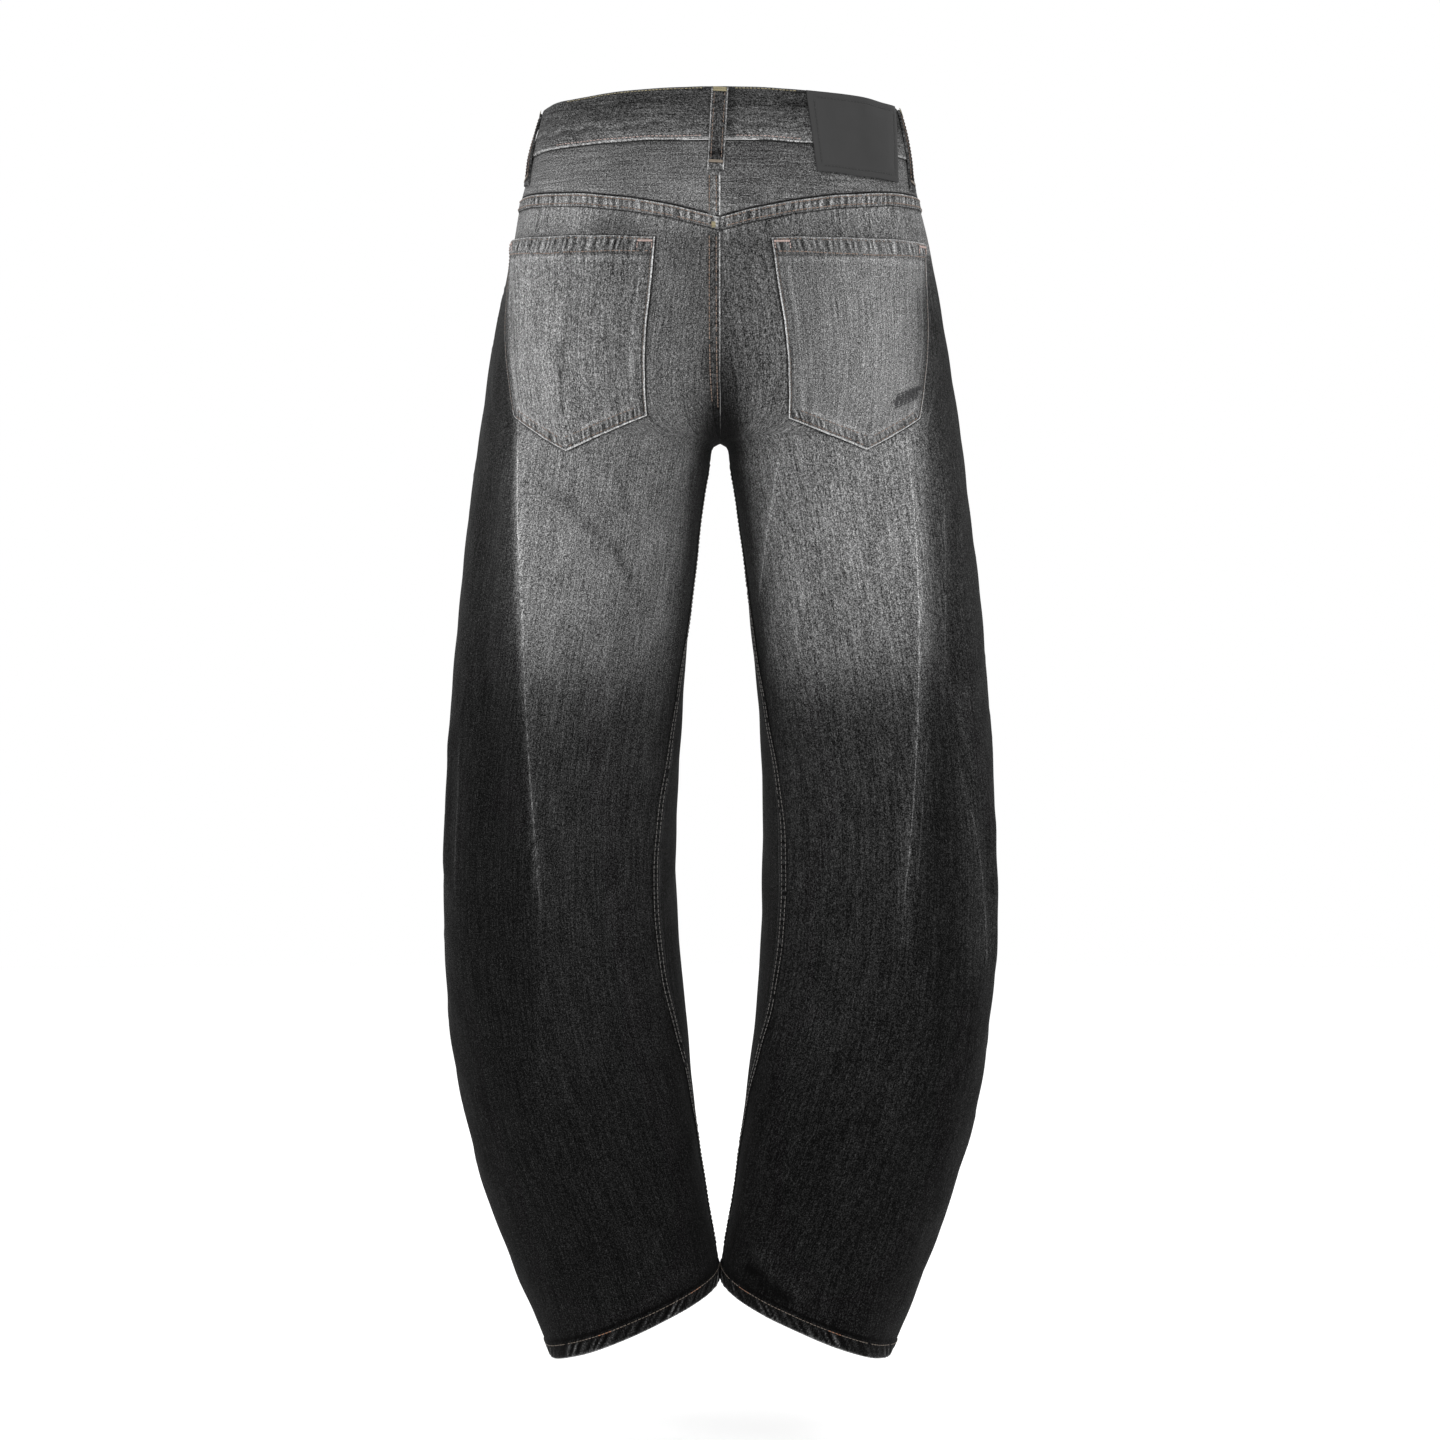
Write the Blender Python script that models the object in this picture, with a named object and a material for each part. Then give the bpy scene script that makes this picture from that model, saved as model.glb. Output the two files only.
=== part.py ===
"""Distressed barrel-leg jeans, hollow as worn: each cut piece of cloth is its own thin solid.

The back faces +Y and the wearer's left is +X. The origin is at the middle of the waistband.
Each leg is a stack of level sections. An angle runs round a section: 0 at the inner leg,
90 at the back, 180 at the outer leg, and -90 at the front.
"""

import math
from collections import namedtuple

import bpy
import numpy as np

# Cloth and gaps, in metres
DENIM_WALL = 0.0018
SEAM_GAP = 0.0003
LAID_GAP = 0.0005
HEM_DEPTH = 0.013
HEM_RAISE = 0.0010
HEM_STEP_SHARE = 0.12

# Waistband
BAND_WIDTH = 0.0437
BAND_WALL = 0.0028
BAND_RAISE = 0.0010
BAND_SIDE_TOP = 0.0180
BAND_BACK_RISE = 0.0076
BAND_FRONT_DIP = 0.0100
BAND_SIDE_EASE = {1: 0.0045, -1: -0.0010}
BAND_LAP = 0.016
BAND_LAP_RUN = 0.060
BAND_STEPS = 88
BAND_ROWS = 4

# Rise and crotch
RISE_START_Z = -0.120
CROTCH_Z = -0.2575
CROTCH_SIDE_Z = -0.2500
RISE_POWER = 4.0
RISE_ROUND = 0.42
CROTCH_ARCH = 0.008

# Hem, which slopes up to the inner leg and hangs lower at the back
HEM_INNER_Z = -0.9508
HEM_OUTER_Z = -1.0142
HEM_BACK_DROP = 0.0125
HEM_FRONT_LIFT = 0.0125

# Yoke
YOKE_SIDE_Z = -0.0555
YOKE_POINT_DROP = 0.0270
YOKE_CURVE = 3.2

# Side seam, a little in front of the outermost line
SIDE_SEAM_TURN = 6.0

# Back pockets: corners as distances round the seat from the side line, and heights
Pocket = namedtuple("Pocket", "side mouth_in mouth_out foot_in foot_out mouth_in_z mouth_out_z foot_z tip_z")
POCKETS = (
    Pocket(1, 0.1860, 0.0180, 0.2150, 0.1020, -0.0989, -0.0915, -0.2425, -0.2712),
    Pocket(-1, 0.1970, 0.0410, 0.2190, 0.1090, -0.0994, -0.0965, -0.2445, -0.2703),
)
POCKET_TIP_SHARE = 0.56
POCKET_WALL = 0.0016
POCKET_GAP = 0.0009
POCKET_HEM_SHARE = 0.085
POCKET_HEM_STEP = 0.020
POCKET_HEM_RAISE = 0.0005
POCKET_ROWS = 9
POCKET_COLUMNS = 16

# Front pocket mouths and facings
SCOOP_START = 0.42
SCOOP_DEPTH = 0.086
FACING_TUCK = 0.010
FACING_LEAD = 0.02
FACING_COLUMNS = 8
FACING_ROWS = 6

# Fly
FLY_WIDTH = 0.038
FLY_LAP = 0.004
FLY_LENGTH = 0.135
FLY_ROUND = 0.70
FLY_FOOT_END = 0.97
FLY_WALL = 0.0014
ZIP_WIDTH = 0.028
ZIP_LENGTH = 0.115
ZIP_WALL = 0.0012

# Belt loops
LOOP_WIDTH = 0.014
LOOP_WALL = 0.0017
LOOP_BELOW_BAND = 0.026
LOOP_BELOW_TOP = 0.0015
LOOP_BULGE = 0.0013
LOOP_BAND_SHARE = 0.60
LOOP_STEP_SHARE = 0.25
LOOP_ROWS = 10
LOOP_BACK_LEAN = 0.0037
LOOP_FRONT_WAY = 0.088
LOOP_LEFT_WAY = -0.006
LOOP_LEFT_LEAN = 0.034
LOOP_RIGHT_WAY = 0.014
LOOP_RIGHT_LEAN = 0.022

# Patch on the waistband, by distance from the centre seam
PATCH_WALL = 0.0014
PATCH_IN_TOP = 0.0702
PATCH_IN_FOOT = 0.0790
PATCH_OUT_TOP = 0.1680
PATCH_OUT_FOOT = 0.1590
PATCH_BELOW_TOP = 0.0006
PATCH_IN_DEPTH = 0.0680
PATCH_OUT_DEPTH = 0.0670

# Waist button
BUTTON_RADIUS = 0.0085
BUTTON_HEIGHT = 0.0036
BUTTON_STEPS = 28
Ring = namedtuple("Ring", "radius_share height_share")
BUTTON_RINGS = (
    Ring(0.55, 0.00),
    Ring(0.55, 0.35),
    Ring(1.00, 0.45),
    Ring(1.00, 0.85),
    Ring(0.86, 1.00),
)

# Grid of a leg panel
COLUMNS = 16
RISE_ROWS = 9
LEG_ROWS = 19
LEG_ROW_CURVE = 1.25
EDGE_FADE = 1.5

# Steps that measure the form: arcs round a section, and slopes for the way straight out of it
ARC_STEPS = 60
ARC_END = 200.0
RISE_STEPS = 400
SLOPE_TURN = 0.6
SLOPE_RISE = 0.0008

# z: height; outer, inner: sideways reach of the leg; back, front: reach from the side line;
# corner: squareness of the section; turn: angle of the inseam from the innermost line
Section = namedtuple("Section", "z outer inner back front corner turn")
SECTIONS = (
    Section(0.030, 0.1435, 0.0065, 0.0990, 0.0965, 2.15, 0.0),
    Section(0.000, 0.1515, 0.0065, 0.1020, 0.0990, 2.15, 0.0),
    Section(-0.030, 0.1588, 0.0065, 0.1075, 0.1010, 2.20, 0.0),
    Section(-0.080, 0.1700, 0.0065, 0.1170, 0.1020, 2.25, 0.0),
    Section(-0.130, 0.1800, 0.0065, 0.1240, 0.1010, 2.30, 0.0),
    Section(-0.180, 0.1893, 0.0065, 0.1255, 0.0995, 2.35, 0.0),
    Section(-0.220, 0.1953, 0.0065, 0.1225, 0.0985, 2.35, 0.0),
    Section(-0.260, 0.2012, 0.0065, 0.1155, 0.0975, 2.35, 0.0),
    Section(-0.300, 0.2063, 0.0130, 0.1070, 0.0955, 2.30, 1.0),
    Section(-0.380, 0.2158, 0.0225, 0.0945, 0.0905, 2.25, 6.0),
    Section(-0.480, 0.2242, 0.0317, 0.0840, 0.0870, 2.20, 20.0),
    Section(-0.580, 0.2292, 0.0360, 0.0765, 0.0850, 2.20, 33.0),
    Section(-0.650, 0.2300, 0.0350, 0.0730, 0.0820, 2.20, 34.0),
    Section(-0.720, 0.2270, 0.0300, 0.0710, 0.0775, 2.20, 29.0),
    Section(-0.800, 0.2160, 0.0218, 0.0700, 0.0730, 2.20, 11.0),
    Section(-0.880, 0.1950, 0.0118, 0.0685, 0.0690, 2.15, -3.0),
    Section(-0.947, 0.1700, 0.0012, 0.0655, 0.0650, 2.10, -6.0),
    Section(-1.030, 0.1350, 0.0030, 0.0620, 0.0600, 2.05, -7.0),
)

# A fold runs down one leg (side 1 left, -1 right) from its top to its foot, both as a height
# and an angle; height is how far it stands out (in if negative), spread its half width in degrees
Fold = namedtuple("Fold", "side top top_angle foot foot_angle height spread")
FOLDS = (
    Fold(1, -0.268, 127.0, -0.700, 97.0, 0.0040, 9.0),
    Fold(1, -0.262, 146.0, -0.640, 118.0, -0.0032, 10.0),
    Fold(-1, -0.240, 120.0, -0.640, 100.0, 0.0040, 8.5),
    Fold(-1, -0.250, 140.0, -0.600, 120.0, -0.0030, 10.0),
    Fold(1, -0.480, 163.0, -0.640, 160.0, 0.0028, 8.0),
    Fold(-1, -0.540, 158.0, -0.720, 166.0, 0.0030, 8.0),
    Fold(-1, -0.570, 113.0, -0.720, 104.0, 0.0030, 9.0),
    Fold(1, -0.300, -62.0, -0.560, -84.0, 0.0036, 9.0),
    Fold(-1, -0.290, -66.0, -0.600, -88.0, 0.0038, 9.0),
    Fold(1, -0.600, -112.0, -0.860, -96.0, 0.0036, 11.0),
    Fold(-1, -0.640, -106.0, -0.880, -92.0, 0.0034, 11.0),
    Fold(1, -0.740, 122.0, -0.930, 96.0, 0.0030, 11.0),
    Fold(-1, -0.760, 118.0, -0.940, 90.0, 0.0032, 10.0),
)
FOLD_END = 0.22

DENIM_DARK = (0.020, 0.020, 0.022, 1.0)
DENIM_FADED = (0.110, 0.112, 0.116, 1.0)
LEATHER = (0.040, 0.040, 0.042, 1.0)
ZIP_TAPE = (0.012, 0.012, 0.013, 1.0)
BUTTON_METAL = (0.320, 0.310, 0.300, 1.0)


def column(name):
    """Smooth curve through one column of the section table, as a function of height."""
    heights = np.array([row.z for row in reversed(SECTIONS)])
    values = np.array([getattr(row, name) for row in reversed(SECTIONS)])
    slopes = np.gradient(values, heights)

    def value_at(z):
        z = np.clip(z, heights[0], heights[-1])
        i = np.clip(np.searchsorted(heights, z) - 1, 0, len(heights) - 2)
        step = heights[i + 1] - heights[i]
        t = (z - heights[i]) / step
        rise = (3 * t**2 - 2 * t**3) * (values[i + 1] - values[i])
        ease_in = (t**3 - 2 * t**2 + t) * step * slopes[i]
        ease_out = (t**3 - t**2) * step * slopes[i + 1]
        return values[i] + rise + ease_in + ease_out

    return value_at


OUTER = column("outer")
INNER = column("inner")
BACK = column("back")
FRONT = column("front")
CORNER = column("corner")
TURN = column("turn")


def leg_share(z):
    """How far the section has split into two legs at a height: 0 one ring, 1 at the crotch."""
    drop = np.clip((RISE_START_Z - z) / (RISE_START_Z - CROTCH_Z), 0.0, 1.0)
    depth = (1.0 - drop**RISE_POWER) ** RISE_ROUND
    corner = CORNER(z)
    return (1.0 - depth**corner) ** (1.0 / corner)


def section_middle(z):
    """Middle and half width, sideways, of one leg's section."""
    share = leg_share(z)
    outer = OUTER(z)
    arch = np.clip((CROTCH_Z - z) / CROTCH_ARCH, 0.0, 1.0)
    inner = INNER(z) * np.sqrt(1.0 - (1.0 - arch) ** 2)
    above = z >= CROTCH_Z
    middle = np.where(above, outer * share / (1.0 + share), (outer + inner) / 2)
    half = np.where(above, outer / (1.0 + share), (outer - inner) / 2)
    return middle, half


def base_point(side, angle, z):
    """Point of the smooth outer form at an angle in degrees and a height."""
    middle, half = section_middle(z)
    turn = np.radians(angle)
    across = np.cos(turn)
    along = np.sin(turn)
    corner = CORNER(z)
    reach = (np.abs(across) ** corner + np.abs(along) ** corner) ** (-1.0 / corner)
    depth = np.where(along >= 0.0, BACK(z), FRONT(z))
    x = middle - half * reach * across
    y = depth * reach * along
    return np.stack([side * x, y, z * np.ones_like(x)], axis=-1)


def base_normal(side, angle, z):
    """Direction straight out of the cloth."""
    turned = base_point(side, angle + SLOPE_TURN, z) - base_point(side, angle - SLOPE_TURN, z)
    raised = base_point(side, angle, z + SLOPE_RISE) - base_point(side, angle, z - SLOPE_RISE)
    normal = np.cross(raised, turned) * side
    return normal / np.linalg.norm(normal, axis=-1, keepdims=True)


def fold_height(side, angle, z):
    """How far the folds lift the cloth at an angle and a height."""
    lift = np.zeros_like(angle * z)
    for fold in FOLDS:
        if fold.side != side:
            continue
        share = (z - fold.top) / (fold.foot - fold.top)
        line = fold.top_angle + (fold.foot_angle - fold.top_angle) * share
        ends = np.clip(np.minimum(share, 1.0 - share) / FOLD_END, 0.0, 1.0)
        swell = ends**2 * (3.0 - 2.0 * ends)
        lift += fold.height * swell * np.exp(-(((angle - line) / fold.spread) ** 2))
    return lift


def cloth_point(side, angle, z, out=0.0):
    """Point of the cloth's outer face, or a distance out from it."""
    angle, z = np.broadcast_arrays(np.asarray(angle, float), np.asarray(z, float))
    lift = fold_height(side, angle, z) + out
    return base_point(side, angle, z) + base_normal(side, angle, z) * lift[..., None]


def centre_angle(z):
    """Angle of the centre seam at a height, 0 at the crotch and below it."""
    share = leg_share(z)
    corner = CORNER(z)
    depth = np.maximum(1.0 - share**corner, 0.0) ** (1.0 / corner)
    above = np.degrees(np.arctan2(depth, share))
    return np.where(z >= CROTCH_Z, above, 0.0)


def panel_start(z, face):
    """Angle of a panel's inner edge: the centre seam, then the inseam."""
    return np.where(z >= CROTCH_Z, centre_angle(z) * face, TURN(z))


def panel_end(face):
    """Angle of the side seam, reached round the back or round the front."""
    return 180.0 + SIDE_SEAM_TURN if face > 0 else -180.0 + SIDE_SEAM_TURN


def section_arcs(z, face):
    """Angles round the sections at given heights, and the way round to each from the centre line."""
    start = centre_angle(z)[..., None]
    steps = np.linspace(0.0, 1.0, ARC_STEPS)
    angles = start + (ARC_END - start) * steps
    points = base_point(1, angles * face, z[..., None] * np.ones(ARC_STEPS))
    lengths = np.linalg.norm(np.diff(points, axis=-2), axis=-1)
    arcs = np.concatenate([np.zeros(z.shape + (1,)), np.cumsum(lengths, axis=-1)], axis=-1)
    return angles, arcs


def angle_from_centre(distance, z, face):
    """Angle a way round from the centre line, at each height."""
    distance, z = np.broadcast_arrays(np.asarray(distance, float), np.asarray(z, float))
    angles, arcs = section_arcs(z, face)
    found = np.empty(z.shape)
    for index in np.ndindex(z.shape):
        found[index] = np.interp(distance[index], arcs[index], angles[index])
    return found * face


def angle_from_side(distance, z, face):
    """Angle a way round from the outermost line of the side, at each height."""
    distance, z = np.broadcast_arrays(np.asarray(distance, float), np.asarray(z, float))
    angles, arcs = section_arcs(z, face)
    found = np.empty(z.shape)
    for index in np.ndindex(z.shape):
        side_line = np.interp(180.0, angles[index], arcs[index])
        found[index] = np.interp(side_line - distance[index], arcs[index], angles[index])
    return found * face


def band_top(angle):
    """Height of the waistband's top edge at an angle round it."""
    along = np.sin(np.radians(angle))
    rise = np.where(along > 0.0, BAND_BACK_RISE, -BAND_FRONT_DIP)
    return BAND_SIDE_TOP + rise * along**2


def band_edge(side, angle):
    """Height of the seam under the waistband."""
    across = np.cos(np.radians(angle))
    return band_top(angle) - BAND_WIDTH + BAND_SIDE_EASE[side] * across**2


def yoke_seam(angle):
    """Height of the pointed seam under the yoke."""
    share = np.clip((angle - 90.0) / (90.0 + SIDE_SEAM_TURN), 0.0, 1.0)
    return YOKE_SIDE_Z - YOKE_POINT_DROP * (1.0 - share) ** YOKE_CURVE


def draw_in(grid, half_gap):
    """Moves a patch's four edges in by half of a seam's gap."""
    drawn = grid.copy()
    for edge, inward in ((0, 1), (-1, -2)):
        step = grid[inward] - grid[edge]
        drawn[edge] += step / np.linalg.norm(step, axis=-1, keepdims=True) * half_gap
        step = grid[:, inward] - grid[:, edge]
        drawn[:, edge] += step / np.linalg.norm(step, axis=-1, keepdims=True) * half_gap
    return drawn


def paint(name, colour, roughness, metallic):
    """Plain material of one piece."""
    material = bpy.data.materials.new(name)
    material.use_nodes = True
    shader = material.node_tree.nodes["Principled BSDF"]
    shader.inputs["Base Color"].default_value = colour
    shader.inputs["Roughness"].default_value = roughness
    shader.inputs["Metallic"].default_value = metallic
    material.diffuse_color = colour
    return material


def add_object(name, points, faces, colour, roughness=0.85, metallic=0.0):
    """Adds one smooth closed piece."""
    mesh = bpy.data.meshes.new(name)
    mesh.from_pydata([tuple(point) for point in points], [], faces)
    mesh.materials.append(paint(name, colour, roughness, metallic))
    mesh.shade_smooth()
    mesh.set_sharp_from_angle(angle=math.radians(40.0))
    piece = bpy.data.objects.new(name, mesh)
    bpy.context.collection.objects.link(piece)
    return piece


def add_shell(name, outer, inner, flip, colour):
    """Closes an outer and an inner grid of points into one thin solid."""
    rows, columns = outer.shape[:2]
    points = np.concatenate([outer.reshape(-1, 3), inner.reshape(-1, 3)])
    shift = rows * columns
    faces = []

    def add_quad(a, b, c, d):
        corners = (a, b, c, d) if flip else (d, c, b, a)
        faces.append((corners[0], corners[1], corners[2]))
        faces.append((corners[0], corners[2], corners[3]))

    for row in range(rows - 1):
        for across in range(columns - 1):
            a = row * columns + across
            b = a + 1
            c = a + columns + 1
            d = a + columns
            add_quad(a, b, c, d)
            add_quad(shift + d, shift + c, shift + b, shift + a)
    rim = list(range(columns))
    rim += [row * columns + columns - 1 for row in range(1, rows)]
    rim += [(rows - 1) * columns + across for across in range(columns - 2, -1, -1)]
    rim += [row * columns for row in range(rows - 2, 0, -1)]
    for here, following in zip(rim, rim[1:] + rim[:1]):
        add_quad(following, here, shift + here, shift + following)
    return add_object(name, points, faces, colour)


def add_cloth(name, side, face, angles, heights, wall, colour, out=0.0, edge_gap=SEAM_GAP):
    """Thin solid over a grid of angles and heights; out lifts its outer face."""
    outer = cloth_point(side, angles, heights, out)
    inner = cloth_point(side, angles, heights, np.zeros_like(heights) + np.min(out) - wall)
    drawn = draw_in(outer, edge_gap / 2)
    return add_shell(name, drawn, inner + drawn - outer, side * face > 0, colour)


def even_rise(top, face):
    """Heights down the centre seam, evenly spaced along its curve to the crotch."""
    heights = np.linspace(top, CROTCH_Z, RISE_STEPS)
    line = base_point(1, centre_angle(heights) * face, heights)
    lengths = np.concatenate([[0.0], np.cumsum(np.linalg.norm(np.diff(line, axis=0), axis=1))])
    return np.interp(np.linspace(0.0, lengths[-1], RISE_ROWS + 1), lengths, heights)


def leg_shares():
    """Rows down a leg, closer at the crotch, with two at the hem's fold."""
    hem_share = HEM_DEPTH / (CROTCH_SIDE_Z - HEM_OUTER_Z)
    even = np.linspace(0.0, 1.0, LEG_ROWS + 1) ** LEG_ROW_CURVE * (1.0 - hem_share)
    return np.concatenate([even[1:], [1.0 - hem_share * (1.0 - HEM_STEP_SHARE), 1.0]])


def leg_grid(side, face, upper_edge):
    """Angles and heights of a leg panel under its upper edge."""
    share = np.linspace(0.0, 1.0, COLUMNS + 1)
    cosine = (1.0 - np.cos(np.pi * share)) / 2
    edge = upper_edge(side, share)
    inner_top = edge[0]
    outer_top = edge[-1]
    inner = even_rise(inner_top, face)
    outer = np.linspace(outer_top, CROTCH_SIDE_Z, RISE_ROWS + 1)
    heights = []
    for row in range(RISE_ROWS + 1):
        down = row / RISE_ROWS
        blend = share + (cosine - share) * down
        level = inner[row] + (outer[row] - inner[row]) * blend
        top_level = inner_top + (outer_top - inner_top) * share
        heights.append(level + (edge - top_level) * (1.0 - down) ** EDGE_FADE)
    bow = np.sin(np.pi * share) * (-HEM_BACK_DROP if face > 0 else HEM_FRONT_LIFT)
    for down in leg_shares():
        low = CROTCH_Z + (HEM_INNER_Z - CROTCH_Z) * down
        high = CROTCH_SIDE_Z + (HEM_OUTER_Z - CROTCH_SIDE_Z) * down
        heights.append(low + (high - low) * cosine + bow * down**3)
    heights = np.array(heights)
    start = panel_start(heights, face)
    angles = start + (panel_end(face) - start) * share
    return angles, heights


def add_leg(name, side, face, upper_edge, colour):
    """One leg panel, with the turned hem raised on its outer face."""
    angles, heights = leg_grid(side, face, upper_edge)
    out = np.zeros_like(heights)
    out[-2:] = HEM_RAISE
    return add_cloth(name, side, face, angles, heights, DENIM_WALL, colour, out)


def yoke_foot(side, share):
    """Height of the yoke seam, by share of the way from the centre seam to the side."""
    return yoke_seam(90.0 + (90.0 + SIDE_SEAM_TURN) * share)


def front_top(side, share):
    """Height of the front's upper edge: the waist seam, then the scooped pocket mouth."""
    angle = -90.0 - (90.0 - SIDE_SEAM_TURN) * share
    along = np.clip((share - SCOOP_START) / (1.0 - SCOOP_START), 0.0, 1.0)
    return band_edge(side, angle) - SCOOP_DEPTH * (1.0 - (1.0 - along) ** 2)


def add_waistband():
    """The waistband strip, its left end lapped over its right end at the centre front."""
    lap = math.degrees(BAND_LAP / FRONT(0.0)) / 2
    turns = np.linspace(-180.0 - lap, 180.0 + lap, BAND_STEPS + 1)
    run = math.degrees(BAND_LAP_RUN / FRONT(0.0))
    near_end = np.clip((turns - (180.0 + lap - run)) / (run - 2 * lap), 0.0, 1.0)
    lifted = near_end**2 * (3.0 - 2.0 * near_end) * (BAND_WALL + SEAM_GAP)
    angle = 90.0 + np.abs(turns)
    top = band_top(angle)
    foot = np.where(turns > 0.0, band_edge(1, angle), band_edge(-1, angle))
    outer = []
    inner = []
    for down in np.linspace(0.0, 1.0, BAND_ROWS):
        height = top + (foot - top) * down
        outer.append(mirror_if(turns, cloth_point(1, angle, height, BAND_RAISE + lifted)))
        inner.append(mirror_if(turns, cloth_point(1, angle, height, BAND_RAISE + lifted - BAND_WALL)))
    outer = np.array(outer)
    inner = np.array(inner)
    drawn = draw_in(outer, SEAM_GAP / 2)
    add_shell("waistband", drawn, inner + drawn - outer, True, DENIM_FADED)


def mirror_if(turns, points):
    """Mirrors the points whose turn lies on the wearer's right."""
    flip = np.where(turns < 0.0, -1.0, 1.0)
    return points * np.stack([flip, np.ones_like(flip), np.ones_like(flip)], axis=-1)


def add_yoke(name, side):
    """Half of the yoke, from the centre seam to the side seam."""
    share = np.linspace(0.0, 1.0, COLUMNS + 1)
    angles = 90.0 + (90.0 + SIDE_SEAM_TURN) * share
    top = band_edge(side, angles)
    foot = yoke_foot(side, share)
    rows = np.linspace(0.0, 1.0, BAND_ROWS)[:, None]
    heights = top + (foot - top) * rows
    start = centre_angle(heights)
    angles = start + (180.0 + SIDE_SEAM_TURN - start) * share
    add_cloth(name, side, 1, angles, heights, DENIM_WALL, DENIM_FADED)


def add_pocket_facing(name, side):
    """Cloth that backs one front pocket's mouth, tucked under the front panel."""
    share = np.linspace(SCOOP_START - FACING_LEAD, 1.0, FACING_COLUMNS + 1)
    angles = -90.0 - (90.0 - SIDE_SEAM_TURN) * share
    top = band_edge(side, angles)
    foot = front_top(side, share) - FACING_TUCK
    rows = np.linspace(0.0, 1.0, FACING_ROWS + 1)[:, None]
    heights = top + (foot - top) * rows
    angles = np.broadcast_to(angles, heights.shape)
    out = np.zeros_like(heights) - DENIM_WALL - LAID_GAP
    add_cloth(name, side, -1, angles, heights, DENIM_WALL, DENIM_DARK, out)


def seat_point(side, distance, z, face, out):
    """Point a way round from the centre line; a negative way lies across it."""
    distance, z = np.broadcast_arrays(np.asarray(distance, float), np.asarray(z, float))
    angle = angle_from_centre(np.abs(distance), z, face)
    here = cloth_point(side, angle, z, out)
    flip = np.where(distance < 0.0, -1.0, 1.0)
    return here * np.stack([flip, np.ones_like(flip), np.ones_like(flip)], axis=-1)


def add_centred(name, side, face, distances, heights, out, wall, colour):
    """A piece laid on the cloth, over a grid of distances from the centre line."""
    outer = seat_point(side, distances, heights, face, out + wall)
    inner = seat_point(side, distances, heights, face, out)
    add_shell(name, outer, inner, side * face > 0, colour)


def add_laid(name, side, face, angles, heights, out, wall, colour):
    """A piece laid on the cloth, over a grid of angles and heights."""
    outer = cloth_point(side, angles, heights, out + wall)
    inner = cloth_point(side, angles, heights, out)
    add_shell(name, outer, inner, side * face > 0, colour)


def add_back_pocket(name, pocket):
    """Five-sided patch pocket with a turned mouth."""
    across = np.linspace(0.0, 1.0, POCKET_COLUMNS + 1)
    below_hem = np.linspace(POCKET_HEM_SHARE + POCKET_HEM_STEP, 1.0, POCKET_ROWS)
    down = np.concatenate([[0.0, POCKET_HEM_SHARE], below_hem])[:, None]
    mouth = pocket.mouth_in_z + (pocket.mouth_out_z - pocket.mouth_in_z) * across
    to_tip = np.minimum(across / POCKET_TIP_SHARE, (1.0 - across) / (1.0 - POCKET_TIP_SHARE))
    foot = pocket.foot_z + (pocket.tip_z - pocket.foot_z) * to_tip
    heights = mouth + (foot - mouth) * down
    near = pocket.mouth_in + (pocket.foot_in - pocket.mouth_in) * down
    far = pocket.mouth_out + (pocket.foot_out - pocket.mouth_out) * down
    angles = angle_from_side(near + (far - near) * across, heights, 1)
    wall = np.full(heights.shape, POCKET_WALL)
    wall[:2] += POCKET_HEM_RAISE
    add_laid(name, pocket.side, 1, angles, heights, POCKET_GAP, wall, DENIM_FADED)


def add_fly():
    """Placket over the centre front, round at its foot, and the zip tape behind it."""
    across = np.linspace(0.0, 1.0, 6)
    down = np.linspace(0.0, 1.0, 10)[:, None]
    top = float(band_edge(1, -90.0)) - SEAM_GAP
    curve = np.clip((down - FLY_ROUND) / (1.0 - FLY_ROUND), 0.0, FLY_FOOT_END)
    reach = FLY_WIDTH * np.sqrt(1.0 - curve**2)
    distances = -FLY_LAP + (reach + FLY_LAP) * across
    heights = top - FLY_LENGTH * down * np.ones_like(across)
    add_centred("fly_placket", 1, -1, distances, heights, LAID_GAP, FLY_WALL, DENIM_FADED)
    across = np.linspace(-0.5, 0.5, 5)
    heights = top - ZIP_LENGTH * np.linspace(0.0, 1.0, 7)[:, None] * np.ones_like(across)
    distances = ZIP_WIDTH * across * np.ones_like(heights)
    behind = -DENIM_WALL - LAID_GAP - ZIP_WALL
    add_centred("fly_zip", 1, -1, distances, heights, behind, ZIP_WALL, ZIP_TAPE)


def loop_rise(down):
    """How far a belt loop's inner face stands off the cloth, down its length."""
    over_band = np.clip(down / LOOP_BAND_SHARE, 0.0, 1.0)
    on_band = BAND_RAISE + LAID_GAP + LOOP_BULGE * np.sin(np.pi * over_band)
    past = np.clip((down - LOOP_BAND_SHARE) / LOOP_STEP_SHARE, 0.0, 1.0)
    ease = past**2 * (3.0 - 2.0 * past)
    return on_band - BAND_RAISE * ease


def loop_heights(side, angle):
    """Heights down a belt loop, from just under the waistband's top to below its seam."""
    top = float(band_top(angle)) - LOOP_BELOW_TOP
    foot = float(band_edge(side, angle)) - LOOP_BELOW_BAND
    return top + (foot - top) * np.linspace(0.0, 1.0, LOOP_ROWS)[:, None]


def add_side_loop(name, side, face, way, lean):
    """Belt loop a way round from the side line, leaning towards the back as it goes down."""
    across = np.linspace(0.5, -0.5, 3)
    top_angle = angle_from_side(np.array([way]), np.array([0.0]), face)[0]
    heights = loop_heights(side, top_angle) * np.ones_like(across)
    down = np.linspace(0.0, 1.0, LOOP_ROWS)[:, None]
    angles = angle_from_side(way + lean * down + LOOP_WIDTH * across, heights, face)
    out = loop_rise(down) * np.ones_like(across)
    add_laid(name, side, face, angles, heights, out, LOOP_WALL, DENIM_FADED)


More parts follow.
